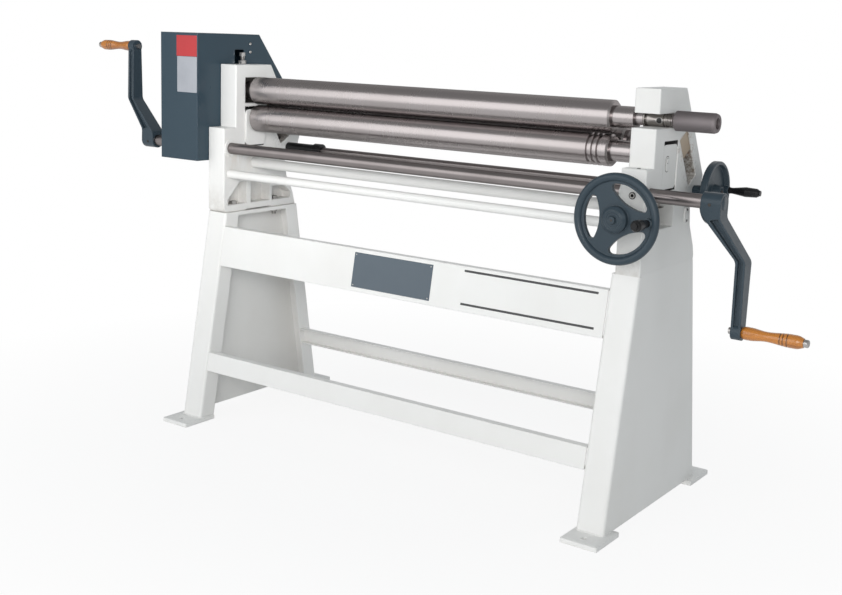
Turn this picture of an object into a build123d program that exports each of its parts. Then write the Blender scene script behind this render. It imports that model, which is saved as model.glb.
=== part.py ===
"""Hand-driven three-roll plate rolling machine on two sheet-metal stands.

Millimetres. +X runs along the rolls, +Y to the rear, +Z up.
The origin is on the floor, midway between the four floor bolts.
"""
import os
from math import asin, atan, cos, degrees, hypot, pi, radians, sin, tan

from build123d import *

os.makedirs("parts", exist_ok=True)

# Clearances
running_gap = 0.05
sliding_gap = 0.2
free_gap = 0.3

# Rolls
roll_dia = 90
roll_left_x = -705
roll_right_x = 627
roll_y = -37
top_roll_z = 1107
roll_gap = 3.5
roll_chamfer = 5
neck_r = 30
lower_roll_z = top_roll_z - roll_dia - roll_gap
roll_r = roll_dia / 2

# Side castings
casting_gap = 1447
casting_thickness = 73
joint_z = 700
casting_top_z = 1192
ledge_z = 984
lower_front_y = -182
middle_front_y = -140
upper_front_y = -127
rear_joint_y = 177
inner_x = casting_gap / 2
outer_x = inner_x + casting_thickness
mid_x = inner_x + casting_thickness / 2

# Rear guideway, measured along and across its slanted axis from the rear roll at rest
rear_roll_y = 58
rear_roll_z = 1036
guide_tilt = 31.6
rear_wall = 70.5
guide_end = 181
bulge_half = 37
bulge_shoulder = 152.5
rear_travel = 40
guide_up = (-sin(radians(guide_tilt)), cos(radians(guide_tilt)))
guide_side = (cos(radians(guide_tilt)), sin(radians(guide_tilt)))


def guide_point(along, across=0.0):
    """Point (Y, Z) at a distance up the slanted guideway and across it, from the rear roll's rest place."""
    y = rear_roll_y + guide_up[0] * along + guide_side[0] * across
    z = rear_roll_z + guide_up[1] * along + guide_side[1] * across
    return (y, z)


# Lower bearing blocks, their guideways and their lift
lift_travel = 3
block_half = 46
block_below = 90.5
block_above = 29.5
block_gap_above = 7
block_gap_below = 2
block_proud = 7
block_recess = 2.5
lift_z = 861
lift_pocket_front = 67
lift_pocket_rear = 42
lift_pocket_above = 30
lift_pocket_below = 44
lift_wall = 10.5
lift_screw_r = 10
lift_collar_r = 14
lift_collar_height = 4.6
lift_thread = 32
block_bottom_z = lower_roll_z - block_below
block_top_z = lower_roll_z + block_above
guide_bottom_z = block_bottom_z - lift_travel - block_gap_below
guide_top_z = block_top_z + lift_travel + block_gap_above
lift_pocket_top_z = lift_z + lift_pocket_above

# Top roll: pivoting left bearing, open slot at the right
swing_pivot_x = -782
window_half_height = 43
bearing_recess = 24
slot_half = 19.5
journal_r = 22
top_spindle_r = 15
pivot_r = 8
pivot_entry = 12

# Gears inside the cover: long coarse teeth, because the rolls move apart and together
sync_teeth = 13
pinion_teeth = 10
bull_teeth = 33
coarse_addendum = 4.6
coarse_dedendum = 8.3
coarse_root_width = 8.5
coarse_tip_width = 4.0
sync_bias = -2.58
sync_near_x = -804
sync_width = 24
bull_near_x = -838
bull_width = 38
gear_seat_r = 20

# Drive shaft and cranks
drive_y = -151.6
drive_z = 916
drive_r = 18.5
drive_bush_r = 23
drive_bush_flange = 4
drive_bush_lip = 5
crank_radius = 322
right_hub_x = 973
left_hub_x = -1103
hub_length = 54
hub_r = 26
hub_outer_drop = 38
hub_inner_drop = 28
crank_offset = 88
crank_bend = 140
arm_thickness = 26
arm_web = 22
arm_rim = 6
arm_bend = 24
arm_width_hub = 2 * hub_r
arm_width_boss = 36
boss_r = 21
boss_length = 26
spindle_r = 7
rivet_proud = 10
rivet_r = 8.5
wood_length = 156
wood_root_r = 14
wood_shoulder_r = 16.4
wood_swell_r = 17
wood_waist_r = 13
wood_belly_r = 17.5
wood_dome_r = 16.5
wood_end_r = 12
wood_round = 6
wood_swell = 20
wood_waist = 58
wood_belly = 126
wood_dome = 12
nut_length = 12
nut_r = 10
nut_dome = 2

# Bevel gears of the two adjustments
lift_module = 1.8
lift_gear_teeth = 24
lift_pinion_teeth = 12
lift_face = 8
rear_module = 2
rear_gear_teeth = 16
rear_face = 7
apex_along = -155
bevel_addendum = 0.8
bevel_dedendum = 1.0
bevel_root_fill = 0.54
bevel_tip_fill = 0.22

# Rear bearing blocks and screws
rear_block_half = 28
rear_block_length = 60
rear_slot_top = 34
rear_slot_bottom = -120
rear_tail_bottom = -77
rear_tail_r = 17
rear_journal_r = 20
rear_screw_r = 8
rear_screw_tip = -64
rear_collar_r = 12
rear_collar_height = 4.6
rear_cavity_top = -130.5
rear_cavity_bottom = -174
rear_cavity_half = 19
rear_cavity_wall = 12.5
adjust_r = 11
adjust_neck_r = 7.5
apex_y, apex_z = guide_point(apex_along)

# Handwheels
lift_wheel_r = 109
lift_rim_r = 11
lift_wheel_y = -270
lift_knob_radius = 90
rear_wheel_r = 88
rear_wheel_width = 20
rear_wheel_x = 858
rear_handle_radius = 76
rear_handle_turn = 1

# Tie bar and lift shaft tube
tie_bar_y = -156
tie_bar_z = 830
tie_bar_r = 14
tie_bar_entry = 20
tube_r = 17
tube_bore_r = 11
tube_entry = 5
lift_shaft_r = 9
lift_neck_r = 4.5

# Gear cover
cover_left_x = -970
cover_front_y = -233
cover_rise = 100
cover_top_z = casting_top_z + cover_rise
cover_top_rear_y = 60
cover_rear_y = 190
cover_rear_z = 1131
cover_bottom_z = 872
cover_wall = 2
cover_bend = 1.9

# Stands and floor plates
stand_inner_x = 712.8
stand_front_y = -300
stand_rear_y = 300
stand_wall = 5
stand_bend = 9
stand_lip = 62
stand_top_plate = 12
foot_thickness = 13.5
foot_width = 110
foot_length = 135
foot_overhang = 75
floor_bolt_r = 9
floor_bolt_y = 340

# Apron and rails
apron_low_z = 526
apron_high_z = 656
front_rail_low_z = 174
front_rail_high_z = 235
rear_rail_low_z = 177
rear_rail_high_z = 232
rear_rail_inset = 34
rail_wall = 3
rail_flange = 24

# Casting bolts and small fasteners
foot_flange = 24
bolt_r = 8
bolt_head_r = 13
bolt_head_height = 10
bolt_front_y = -118
bolt_rear_y = 86


def save(builder, name):
    """Label a finished piece and write its STEP file."""
    builder.part.label = name
    export_step(builder.part, f"parts/{name}.step")


def axis_plane(origin, direction):
    """Plane whose local X runs along a shaft, for turning its profile."""
    normal = (0, -1, 0) if abs(direction[0]) > 0.5 else (1, 0, 0)
    return Plane(origin=origin, x_dir=direction, z_dir=normal)


def turned(origin, direction, outline, bore_r=0.0):
    """Piece turned about an axis from (distance, radius) points, with an optional through bore."""
    plane = axis_plane(origin, direction)
    with BuildPart() as piece:
        with BuildSketch(plane):
            with BuildLine():
                Polyline((outline[0][0], bore_r), *outline, (outline[-1][0], bore_r), close=True)
            make_face()
        revolve(axis=Axis(plane.origin, plane.x_dir))
    return piece


def along_x(y, z, outline, bore_r=0.0):
    """Turned piece whose axis is parallel to the rolls."""
    return turned((0, y, z), (1, 0, 0), outline, bore_r)


full_turn = 360


def tooth_ring(teeth, root_r, tip_r, root_half, tip_half, turn):
    """Corner points of a toothed outline; half widths and turn are angles in degrees."""
    points = []
    for tooth in range(teeth):
        centre = turn + full_turn * tooth / teeth
        corners = ((root_r, -root_half), (tip_r, -tip_half), (tip_r, tip_half), (root_r, root_half))
        for radius, offset in corners:
            angle = radians(centre + offset)
            points.append((radius * cos(angle), radius * sin(angle)))
    return points


def spur_gear(near_x, width, y, z, teeth, pitch_r, turn, bore_r):
    """Coarse-toothed gear on a shaft along X, reaching outwards from near_x to the left."""
    root_r = pitch_r - coarse_dedendum
    tip_r = pitch_r + coarse_addendum
    root_half = degrees(asin(coarse_root_width / 2 / root_r))
    tip_half = degrees(asin(coarse_tip_width / 2 / tip_r))
    with BuildPart() as gear:
        with BuildSketch(Plane(origin=(near_x, y, z), x_dir=(0, 1, 0), z_dir=(1, 0, 0))):
            with BuildLine():
                Polyline(*tooth_ring(teeth, root_r, tip_r, root_half, tip_half, turn), close=True)
            make_face()
            Circle(bore_r, mode=Mode.SUBTRACT)
        extrude(amount=-width)
    return gear


def bevel_gear(apex, axis, mate, teeth, mate_teeth, module, face, hub, bore_r, turn):
    """Straight bevel gear: teeth shrink towards the apex, and hub is its (radius, length) behind."""
    pitch_r = module * teeth / 2
    distance = module * mate_teeth / 2
    cone = hypot(pitch_r, distance)
    pitch_angle = atan(pitch_r / distance)
    tip_slope = tan(pitch_angle + atan(bevel_addendum * module / cone))
    root_slope = tan(pitch_angle - atan(bevel_dedendum * module / cone))
    root_half = bevel_root_fill * 180 / teeth
    tip_half = bevel_tip_fill * 180 / teeth
    origin = Vector(*apex)
    direction = Vector(*axis)
    small = distance * (1 - face / cone)
    with BuildPart() as gear:
        for reach in (small, distance):
            with BuildSketch(Plane(origin=origin + direction * reach, x_dir=mate, z_dir=axis)):
                radii = (root_slope * reach, tip_slope * reach)
                outline = tooth_ring(teeth, *radii, root_half, tip_half, turn)
                with BuildLine():
                    Polyline(*outline, close=True)
                make_face()
        loft(ruled=True)
        with BuildSketch(Plane(origin=origin + direction * distance, x_dir=mate, z_dir=axis)):
            Circle(hub[0])
        extrude(amount=hub[1])
        with BuildSketch(Plane(origin=origin, x_dir=mate, z_dir=axis)):
            Circle(bore_r)
        extrude(amount=distance + hub[1], mode=Mode.SUBTRACT)
    return gear


# Side castings

rear_edge_top_y = rear_roll_y + rear_wall / guide_side[0]
rear_edge_top_y -= (casting_top_z - rear_roll_z) * tan(radians(guide_tilt))
waist_y = 131
waist_rise = 106
foot_rise_y = 164
foot_rise = 45
waist_z = joint_z + waist_rise
foot_rise_z = joint_z + foot_rise
outline_round = 14
casting_edge = 4
foot_pocket_depth = 40
foot_pocket_low = joint_z + foot_flange
foot_pocket_height = 76
foot_pocket_rear_height = 48
foot_pocket_rear_corner = 21
foot_rib_front = (-72, -52)
foot_rib_rear = (43, 54)
foot_pocket_top = foot_pocket_low + foot_pocket_height
foot_pocket_rear_top = foot_pocket_low + foot_pocket_rear_height
foot_relief = (-76, 50)
foot_relief_height = 4
foot_pocket_corner = (19, 19, 76)
foot_pocket_rear_inset = 14
bolt_x = inner_x + foot_pocket_depth / 2


def casting(side):
    """Stepped side casting with its guideways, gear pockets, bores and ribbed foot."""
    rear = [(rear_edge_top_y, casting_top_z), guide_point(-bulge_shoulder, rear_wall)]
    rear += [guide_point(-guide_end, bulge_half), guide_point(-guide_end, -bulge_half)]
    rear += [(waist_y, waist_z), (foot_rise_y, foot_rise_z), (rear_joint_y, joint_z)]
    front = [(lower_front_y, joint_z), (lower_front_y, ledge_z)]
    if side > 0:
        front += [(middle_front_y, ledge_z), (middle_front_y, top_roll_z), (upper_front_y, top_roll_z)]
    else:
        front += [(upper_front_y, ledge_z)]
    front += [(upper_front_y, casting_top_z)]
    with BuildPart() as body:
        with BuildSketch(Plane.YZ.offset(side * inner_x)) as outline:
            with BuildLine():
                Polyline(*front, *rear, close=True)
            make_face()
            corners = outline.vertices()
            rounded = [corners.sort_by_distance((side * inner_x, *point))[0] for point in rear[:-1]]
            fillet(rounded, outline_round)
        extrude(amount=side * casting_thickness)
        cheeks = body.faces().sort_by(Axis.X)
        rims = cheeks[0].edges() + cheeks[-1].edges()
        fillet(rims.filter_by(lambda edge: edge.center().Z > joint_z + casting_edge), casting_edge)

        # Vertical guideway of the lower roll and slanted guideway of the rear roll
        with BuildSketch(Plane.YZ.offset(side * inner_x)):
            with Locations((roll_y, (guide_bottom_z + guide_top_z) / 2)):
                Rectangle(2 * (block_half + sliding_gap), guide_top_z - guide_bottom_z)
            with Locations(guide_point((rear_slot_top + rear_slot_bottom) / 2)):
                slot_length = rear_slot_top - rear_slot_bottom
                Rectangle(2 * (rear_block_half + sliding_gap), slot_length, rotation=guide_tilt)
        extrude(amount=side * casting_thickness, mode=Mode.SUBTRACT)

        # Top roll: open slot at the right, window for the pivoting bearing at the left
        with BuildSketch(Plane.YZ.offset(side * inner_x)):
            if side > 0:
                with Locations((roll_y, top_roll_z)):
                    Circle(slot_half)
                with Locations(((roll_y + lower_front_y) / 2, top_roll_z)):
                    Rectangle(roll_y - lower_front_y, 2 * slot_half)
            else:
                with Locations((roll_y, top_roll_z)):
                    Rectangle(2 * block_half, 2 * window_half_height)
        extrude(amount=side * casting_thickness, mode=Mode.SUBTRACT)

        # Lift gear pocket, open to the outside, and the bores that reach it
        with BuildSketch(Plane.YZ.offset(side * (inner_x + lift_wall))):
            pocket_y = roll_y + (lift_pocket_rear - lift_pocket_front) / 2
            pocket_z = lift_z + (lift_pocket_above - lift_pocket_below) / 2
            with Locations((pocket_y, pocket_z)):
                Rectangle(lift_pocket_front + lift_pocket_rear, lift_pocket_above + lift_pocket_below)
        extrude(amount=side * (casting_thickness - lift_wall), mode=Mode.SUBTRACT)
        with BuildSketch(Plane.YZ.offset(side * inner_x)):
            with Locations((roll_y, lift_z)):
                Circle(lift_shaft_r + running_gap)
        extrude(amount=side * lift_wall, mode=Mode.SUBTRACT)
        with BuildSketch(Plane.YZ.offset(side * inner_x)):
            with Locations((roll_y, lift_z)):
                Circle(tube_r + running_gap)
        extrude(amount=side * tube_entry, mode=Mode.SUBTRACT)
        with BuildSketch(Plane.XY.offset(lift_pocket_top_z)):
            with Locations((side * mid_x, roll_y)):
                Circle(lift_screw_r + running_gap)
        extrude(amount=guide_bottom_z - lift_pocket_top_z, mode=Mode.SUBTRACT)
        with BuildSketch(Plane.XY.offset(guide_bottom_z)):
            with Locations((side * mid_x, roll_y)):
                Circle(lift_collar_r + free_gap)
        extrude(amount=-lift_collar_height - sliding_gap, mode=Mode.SUBTRACT)
        if side > 0:
            with BuildSketch(Plane.XZ.offset(-lower_front_y)):
                with Locations((mid_x, lift_z)):
                    Circle(lift_shaft_r + running_gap)
            extrude(amount=lower_front_y - roll_y + lift_pocket_front, mode=Mode.SUBTRACT)

        # Rear gear cavity, open to the left, with the screw's wall and the adjusting shaft's bore
        cavity_x = side * mid_x + casting_thickness / 2 - rear_cavity_wall
        with BuildSketch(Plane.YZ.offset(cavity_x)):
            with Locations(guide_point((rear_cavity_top + rear_cavity_bottom) / 2)):
                cavity_length = rear_cavity_top - rear_cavity_bottom
                Rectangle(2 * rear_cavity_half, cavity_length, rotation=guide_tilt)
        extrude(amount=rear_cavity_wall - casting_thickness, mode=Mode.SUBTRACT)
        with BuildSketch(Plane.YZ.offset(cavity_x)):
            with Locations((apex_y, apex_z)):
                Circle(adjust_neck_r + running_gap)
        extrude(amount=rear_cavity_wall, mode=Mode.SUBTRACT)
        wall_plane = Plane(
            origin=(side * mid_x, *guide_point(rear_cavity_top)), x_dir=(1, 0, 0), z_dir=(0, *guide_up)
        )
        with BuildSketch(wall_plane):
            Circle(rear_screw_r + running_gap)
        extrude(amount=rear_slot_bottom - rear_cavity_top, mode=Mode.SUBTRACT)
        with BuildSketch(wall_plane.offset(rear_slot_bottom - rear_cavity_top)):
            Circle(rear_collar_r + free_gap)
        extrude(amount=-rear_collar_height - sliding_gap, mode=Mode.SUBTRACT)

        # Bores for the drive shaft's bush and the tie bar
        with BuildSketch(Plane.YZ.offset(side * inner_x)):
            with Locations((drive_y, drive_z)):
                Circle(drive_bush_r + running_gap)
        extrude(amount=side * casting_thickness, mode=Mode.SUBTRACT)
        with BuildSketch(Plane.YZ.offset(side * inner_x)):
            with Locations((tie_bar_y, tie_bar_z)):
                Circle(tie_bar_r + running_gap)
        extrude(amount=side * tie_bar_entry, mode=Mode.SUBTRACT)

        # Pivot of the top roll's left bearing
        if side < 0:
            with BuildSketch(Plane.XY.offset(casting_top_z)):
                with Locations((swing_pivot_x, roll_y)):
                    Circle(pivot_r + running_gap)
            extrude(amount=guide_top_z - casting_top_z, mode=Mode.SUBTRACT)

        # Ribbed foot: three pockets above the base flange, and a relief under it
        with BuildSketch(Plane.YZ.offset(side * inner_x)):
            with BuildLine():
                Polyline(
                    (lower_front_y + foot_pocket_corner[0], foot_pocket_low),
                    (lower_front_y + foot_pocket_corner[0], foot_pocket_low + foot_pocket_corner[1]),
                    (lower_front_y + foot_pocket_corner[2], foot_pocket_top),
                    (foot_rib_front[0], foot_pocket_top),
                    (foot_rib_front[0], foot_pocket_low),
                    close=True,
                )
            make_face()
            with BuildLine():
                Polyline(
                    (foot_rib_front[1], foot_pocket_low),
                    (foot_rib_front[1], foot_pocket_top),
                    (foot_rib_rear[0], foot_pocket_top),
                    (foot_rib_rear[0], foot_pocket_low),
                    close=True,
                )
            make_face()
            with BuildLine():
                Polyline(
                    (foot_rib_rear[1], foot_pocket_low),
                    (foot_rib_rear[1], foot_pocket_rear_top),
                    (waist_y - foot_pocket_rear_inset, foot_pocket_rear_top),
                    (foot_rise_y - foot_pocket_rear_inset, foot_pocket_low + foot_pocket_rear_corner),
                    (foot_rise_y - foot_pocket_rear_inset, foot_pocket_low),
                    close=True,
                )
            make_face()
        extrude(amount=side * foot_pocket_depth, mode=Mode.SUBTRACT)
        with BuildSketch(Plane.YZ.offset(side * inner_x)):
            with Locations((sum(foot_relief) / 2, joint_z)):
                Rectangle(foot_relief[1] - foot_relief[0], 2 * foot_relief_height)
        extrude(amount=side * foot_pocket_depth, mode=Mode.SUBTRACT)
        with BuildSketch(Plane.XY.offset(joint_z)):
            with Locations(*[(side * bolt_x, y) for y in (bolt_front_y, bolt_rear_y)]):
                Circle(bolt_r + free_gap)
        extrude(amount=foot_flange, mode=Mode.SUBTRACT)
    return body


save(casting(-1), "left_casting")
save(casting(1), "right_casting")


# Stands, floor plates, apron and rails

stand_height = joint_z - foot_thickness


def front_line(z):
    """Y of the stand's sloping front edge at a height."""
    return lower_front_y + (stand_front_y - lower_front_y) * (joint_z - z) / stand_height


def rear_line(z):
    """Y of the stand's sloping rear edge at a height."""
    return rear_joint_y + (stand_rear_y - rear_joint_y) * (joint_z - z) / stand_height


def stand(side):
    """Welded channel leg: outer plate, sloping flanges, inward lips and a top plate."""

    def trapezium(inset, top_z, bottom_z):
        Polyline(
            (front_line(bottom_z) + inset, bottom_z),
            (front_line(top_z) + inset, top_z),
            (rear_line(top_z) - inset, top_z),
            (rear_line(bottom_z) - inset, bottom_z),
            close=True,
        )

    with BuildPart() as leg:
        with BuildSketch(Plane.YZ.offset(side * stand_inner_x)):
            with BuildLine():
                trapezium(0, joint_z, foot_thickness)
            make_face()
        extrude(amount=side * (outer_x - stand_inner_x))
        sloping = leg.edges().filter_by(Axis.X, reverse=True).filter_by(Axis.Y, reverse=True)
        fillet(sloping, stand_bend)
        with BuildSketch(Plane.YZ.offset(side * (stand_inner_x + stand_wall))):
            with BuildLine():
                trapezium(stand_wall, joint_z - stand_top_plate, foot_thickness)
            make_face()
        extrude(amount=side * (outer_x - stand_inner_x - 2 * stand_wall), mode=Mode.SUBTRACT)
        with BuildSketch(Plane.YZ.offset(side * stand_inner_x)):
            with BuildLine():
                trapezium(stand_lip, joint_z - stand_top_plate, foot_thickness)
            make_face()
        extrude(amount=side * stand_wall, mode=Mode.SUBTRACT)
        with BuildSketch(Plane.XY.offset(joint_z)):
            with Locations(*[(side * bolt_x, y) for y in (bolt_front_y, bolt_rear_y)]):
                Circle(bolt_r + free_gap)
        extrude(amount=-stand_top_plate, mode=Mode.SUBTRACT)
    return leg


save(stand(-1), "left_stand")
save(stand(1), "right_stand")

foot_x = mid_x
foot_y = stand_rear_y + foot_overhang - foot_length / 2
with BuildPart() as foot_plates:
    with BuildSketch():
        with GridLocations(2 * foot_x, 2 * foot_y, 2, 2):
            Rectangle(foot_width, foot_length)
        with GridLocations(2 * foot_x, 2 * floor_bolt_y, 2, 2):
            Circle(floor_bolt_r, mode=Mode.SUBTRACT)
    extrude(amount=foot_thickness)
save(foot_plates, "foot_plates")


def rail(edge_line, inward, low_z, high_z, inset):
    """Folded channel between the stands, its face following a sloping edge, flanges turned inwards."""
    low_y = edge_line(low_z) + inward * inset
    high_y = edge_line(high_z) + inward * inset
    with BuildPart() as channel:
        with BuildSketch(Plane.YZ.offset(-stand_inner_x)):
            with BuildLine():
                Polyline(
                    (low_y, low_z),
                    (high_y, high_z),
                    (high_y + inward * rail_flange, high_z),
                    (high_y + inward * rail_flange, high_z - rail_wall),
                    (high_y + inward * rail_wall, high_z - rail_wall),
                    (low_y + inward * rail_wall, low_z + rail_wall),
                    (low_y + inward * rail_flange, low_z + rail_wall),
                    (low_y + inward * rail_flange, low_z),
                    close=True,
                )
            make_face()
        extrude(amount=2 * stand_inner_x)
    return channel


save(rail(front_line, 1, apron_low_z, apron_high_z, 0), "front_apron")
save(rail(front_line, 1, front_rail_low_z, front_rail_high_z, 0), "front_lower_rail")
save(rail(rear_line, -1, rear_rail_low_z, rear_rail_high_z, rear_rail_inset), "rear_lower_rail")


# Bolts that hold the castings to the stands

bolt_places = [(side * bolt_x, y) for side in (-1, 1) for y in (bolt_front_y, bolt_rear_y)]
nut_top_z = joint_z - stand_top_plate
with BuildPart() as casting_bolts:
    with BuildSketch(Plane.XY.offset(foot_pocket_low)):
        with Locations(*bolt_places):
            RegularPolygon(bolt_head_r, 6)
    extrude(amount=bolt_head_height)
    with BuildSketch(Plane.XY.offset(foot_pocket_low)):
        with Locations(*bolt_places):
            Circle(bolt_r)
    extrude(amount=nut_top_z - bolt_head_height - bolt_r - foot_pocket_low)
save(casting_bolts, "casting_bolts")

with BuildPart() as casting_nuts:
    with BuildSketch(Plane.XY.offset(nut_top_z)):
        with Locations(*bolt_places):
            RegularPolygon(bolt_head_r, 6)
            Circle(bolt_r + running_gap, mode=Mode.SUBTRACT)
    extrude(amount=-bolt_head_height)
save(casting_nuts, "casting_nuts")


# Tie bar and the tube that houses the lift shaft

tie_bar_end = inner_x + tie_bar_entry
save(along_x(tie_bar_y, tie_bar_z, [(-tie_bar_end, tie_bar_r), (tie_bar_end, tie_bar_r)]), "front_tie_bar")
tube_end = inner_x + tube_entry
save(along_x(roll_y, lift_z, [(-tube_end, tube_r), (tube_end, tube_r)], tube_bore_r), "lift_shaft_tube")


# Top roll, swinging forward about the pivot of its left bearing

bearing_near_x = -inner_x - bearing_recess
bearing_far_x = -outer_x + block_recess
bearing_half = 40
bearing_half_height = window_half_height - free_gap
with BuildPart() as top_left_bearing:
    with BuildSketch(Plane.YZ.offset(bearing_near_x)):
        with Locations((roll_y, top_roll_z)):
            Rectangle(2 * bearing_half, 2 * bearing_half_height)
            Circle(journal_r + running_gap, mode=Mode.SUBTRACT)
    extrude(amount=bearing_far_x - bearing_near_x)
    for end in (-1, 1):
        with BuildSketch(Plane.XY.offset(top_roll_z + end * bearing_half_height)):
            with Locations((swing_pivot_x, roll_y)):
                Circle(pivot_r + running_gap)
        extrude(amount=-end * pivot_entry, mode=Mode.SUBTRACT)
save(top_left_bearing, "top_left_bearing")

pivot_neck = 14
pivot_head_height = 12
pivot_head_r = 10.5
pivot_tip_gap = 1
lock_nut_height = 13
lock_nut_r = 13.5
screw_tip_z = top_roll_z + bearing_half_height - pivot_entry + pivot_tip_gap
pivot_head_z = casting_top_z + lock_nut_height + pivot_neck
with BuildPart() as pivot_screw:
    with BuildSketch(Plane.XY.offset(screw_tip_z)):
        with Locations((swing_pivot_x, roll_y)):
            Circle(pivot_r)
    extrude(amount=pivot_head_z - screw_tip_z)
    with BuildSketch(Plane.XY.offset(pivot_head_z)):
        with Locations((swing_pivot_x, roll_y)):
            RegularPolygon(pivot_head_r, 6)
    extrude(amount=pivot_head_height)
save(pivot_screw, "pivot_screw")

with BuildPart() as pivot_lock_nut:
    with BuildSketch(Plane.XY.offset(casting_top_z)):
        with Locations((swing_pivot_x, roll_y)):
            RegularPolygon(lock_nut_r, 6)
            Circle(pivot_r + running_gap, mode=Mode.SUBTRACT)
    extrude(amount=lock_nut_height)
save(pivot_lock_nut, "pivot_lock_nut")

pin_bottom_z = guide_top_z + pivot_tip_gap
pin_top_z = top_roll_z - bearing_half_height + pivot_entry - pivot_tip_gap
pivot_pin_outline = [(pin_bottom_z, pivot_r), (pin_top_z, pivot_r)]
save(turned((swing_pivot_x, roll_y, 0), (0, 0, 1), pivot_pin_outline), "pivot_pin")

bush_inset = 1
bush_flange_width = 5.5
bush_flange_r = 25
bush_flange_x = inner_x - bush_inset - bush_flange_width
bush_far_x = outer_x - bush_inset
bush_r = slot_half - free_gap
bush_outline = [
    (bush_flange_x, bush_flange_r),
    (bush_flange_x + bush_flange_width, bush_flange_r),
    (bush_flange_x + bush_flange_width, bush_r),
    (bush_far_x, bush_r),
]
save(along_x(roll_y, top_roll_z, bush_outline, top_spindle_r + running_gap), "top_right_bush")

grip_gap = 4
grip_cone = 6
grip_length = 121
grip_r = 27
grip_nose_r = 18.2
grip_shoulder = 2
grip_rim = 8
grip_rim_drop = 3
grip_recess = 7
grip_near_x = outer_x + grip_gap
grip_far_x = grip_near_x + grip_length
neck_end_x = 692
thin_r = 19
gear_seat_far_x = sync_near_x - sync_width
top_roll_outline = [
    (gear_seat_far_x, gear_seat_r),
    (sync_near_x, gear_seat_r),
    (sync_near_x, journal_r),
    (bearing_near_x + free_gap, journal_r),
    (bearing_near_x + free_gap, neck_r),
    (roll_left_x, neck_r),
    (roll_left_x, roll_r),
    (roll_right_x - roll_chamfer, roll_r),
    (roll_right_x, roll_r - roll_chamfer),
    (roll_right_x, neck_r),
    (neck_end_x, neck_r),
    (neck_end_x, thin_r),
    (bush_flange_x - free_gap, thin_r),
    (bush_flange_x - free_gap, top_spindle_r),
    (grip_far_x - grip_recess, top_spindle_r),
]
save(along_x(roll_y, top_roll_z, top_roll_outline), "top_roll")

grip_outline = [
    (grip_near_x, grip_nose_r),
    (grip_near_x + grip_cone, grip_r - grip_shoulder),
    (grip_near_x + grip_cone, grip_r),
    (grip_far_x - grip_rim, grip_r),
    (grip_far_x, grip_r - grip_rim_drop),
]
save(along_x(roll_y, top_roll_z, grip_outline, top_spindle_r), "roll_grip")

sync_pitch_r = (top_roll_z - lower_roll_z) / 2
sync_turn = 270 + 180 / sync_teeth + sync_bias
save(
    spur_gear(
        sync_near_x, sync_width, roll_y, top_roll_z, sync_teeth, sync_pitch_r, sync_turn, gear_seat_r
    ),
    "top_roll_gear",
)


# Lower roll, carried in blocks that slide up and down

lower_near_x = inner_x - block_proud
lower_far_x = outer_x - block_recess
lower_journal_r = 25
blind_end = 6
shoulder_gap = 0.5
groove_places = (566, 582, 598)
groove_half = 5
groove_depth = 5


def lower_bearing(side, bore_r, bore_depth):
    """Sliding bearing block with a rounded top, the roll's bore and the lift screw's nut thread."""
    with BuildPart() as block:
        with BuildSketch(Plane.YZ.offset(side * lower_near_x)) as face:
            with Locations((roll_y, (block_bottom_z + block_top_z) / 2)):
                Rectangle(2 * block_half, block_top_z - block_bottom_z)
            fillet(face.vertices().group_by(Axis.Z)[-1], block_above / 2)
        extrude(amount=side * (lower_far_x - lower_near_x))
        with BuildSketch(Plane.YZ.offset(side * lower_near_x)):
            with Locations((roll_y, lower_roll_z)):
                Circle(bore_r + running_gap)
        extrude(amount=side * bore_depth, mode=Mode.SUBTRACT)
        with BuildSketch(Plane.XY.offset(block_bottom_z)):
            with Locations((side * mid_x, roll_y)):
                Circle(lift_screw_r + free_gap)
        extrude(amount=lift_thread + 2 * lift_travel, mode=Mode.SUBTRACT)
    return block


block_length = lower_far_x - lower_near_x
save(lower_bearing(-1, journal_r, block_length), "lower_left_bearing")
save(lower_bearing(1, lower_journal_r, block_length - blind_end), "lower_right_bearing")

bull_far_x = bull_near_x - bull_width
bull_seat_step = 1
bull_seat_r = gear_seat_r - bull_seat_step
lower_roll_outline = [
    (bull_far_x, bull_seat_r),
    (bull_near_x, bull_seat_r),
    (bull_near_x, gear_seat_r),
    (sync_near_x, gear_seat_r),
    (sync_near_x, journal_r),
    (-lower_near_x + shoulder_gap, journal_r),
    (-lower_near_x + shoulder_gap, neck_r),
    (roll_left_x, neck_r),
    (roll_left_x, roll_r),
]
for groove_x in groove_places:
    lower_roll_outline += [
        (groove_x - groove_half, roll_r),
        (groove_x - groove_half / 2, roll_r - groove_depth),
        (groove_x + groove_half / 2, roll_r - groove_depth),
        (groove_x + groove_half, roll_r),
    ]
lower_roll_outline += [
    (roll_right_x - roll_chamfer, roll_r),
    (roll_right_x, roll_r - roll_chamfer),
    (roll_right_x, neck_r),
    (lower_near_x - shoulder_gap, neck_r),
    (lower_near_x - shoulder_gap, lower_journal_r),
    (lower_far_x - blind_end - shoulder_gap, lower_journal_r),
]
save(along_x(roll_y, lower_roll_z, lower_roll_outline), "lower_roll")
save(
    spur_gear(sync_near_x, sync_width, roll_y, lower_roll_z, sync_teeth, sync_pitch_r, 90, gear_seat_r),
    "lower_roll_gear",
)

drive_distance = hypot(roll_y - drive_y, lower_roll_z - drive_z)
coarse_module = 2 * drive_distance / (pinion_teeth + bull_teeth)
mesh_angle = degrees(atan((lower_roll_z - drive_z) / (roll_y - drive_y)))
bull_turn = mesh_angle + 180 + 180 / bull_teeth
bull_pitch_r = coarse_module * bull_teeth / 2
save(
    spur_gear(
        bull_near_x, bull_width, roll_y, lower_roll_z, bull_teeth, bull_pitch_r, bull_turn, bull_seat_r
    ),
    "bull_gear",
)


# Rear roll in blocks that slide along the slanted guideways

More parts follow.
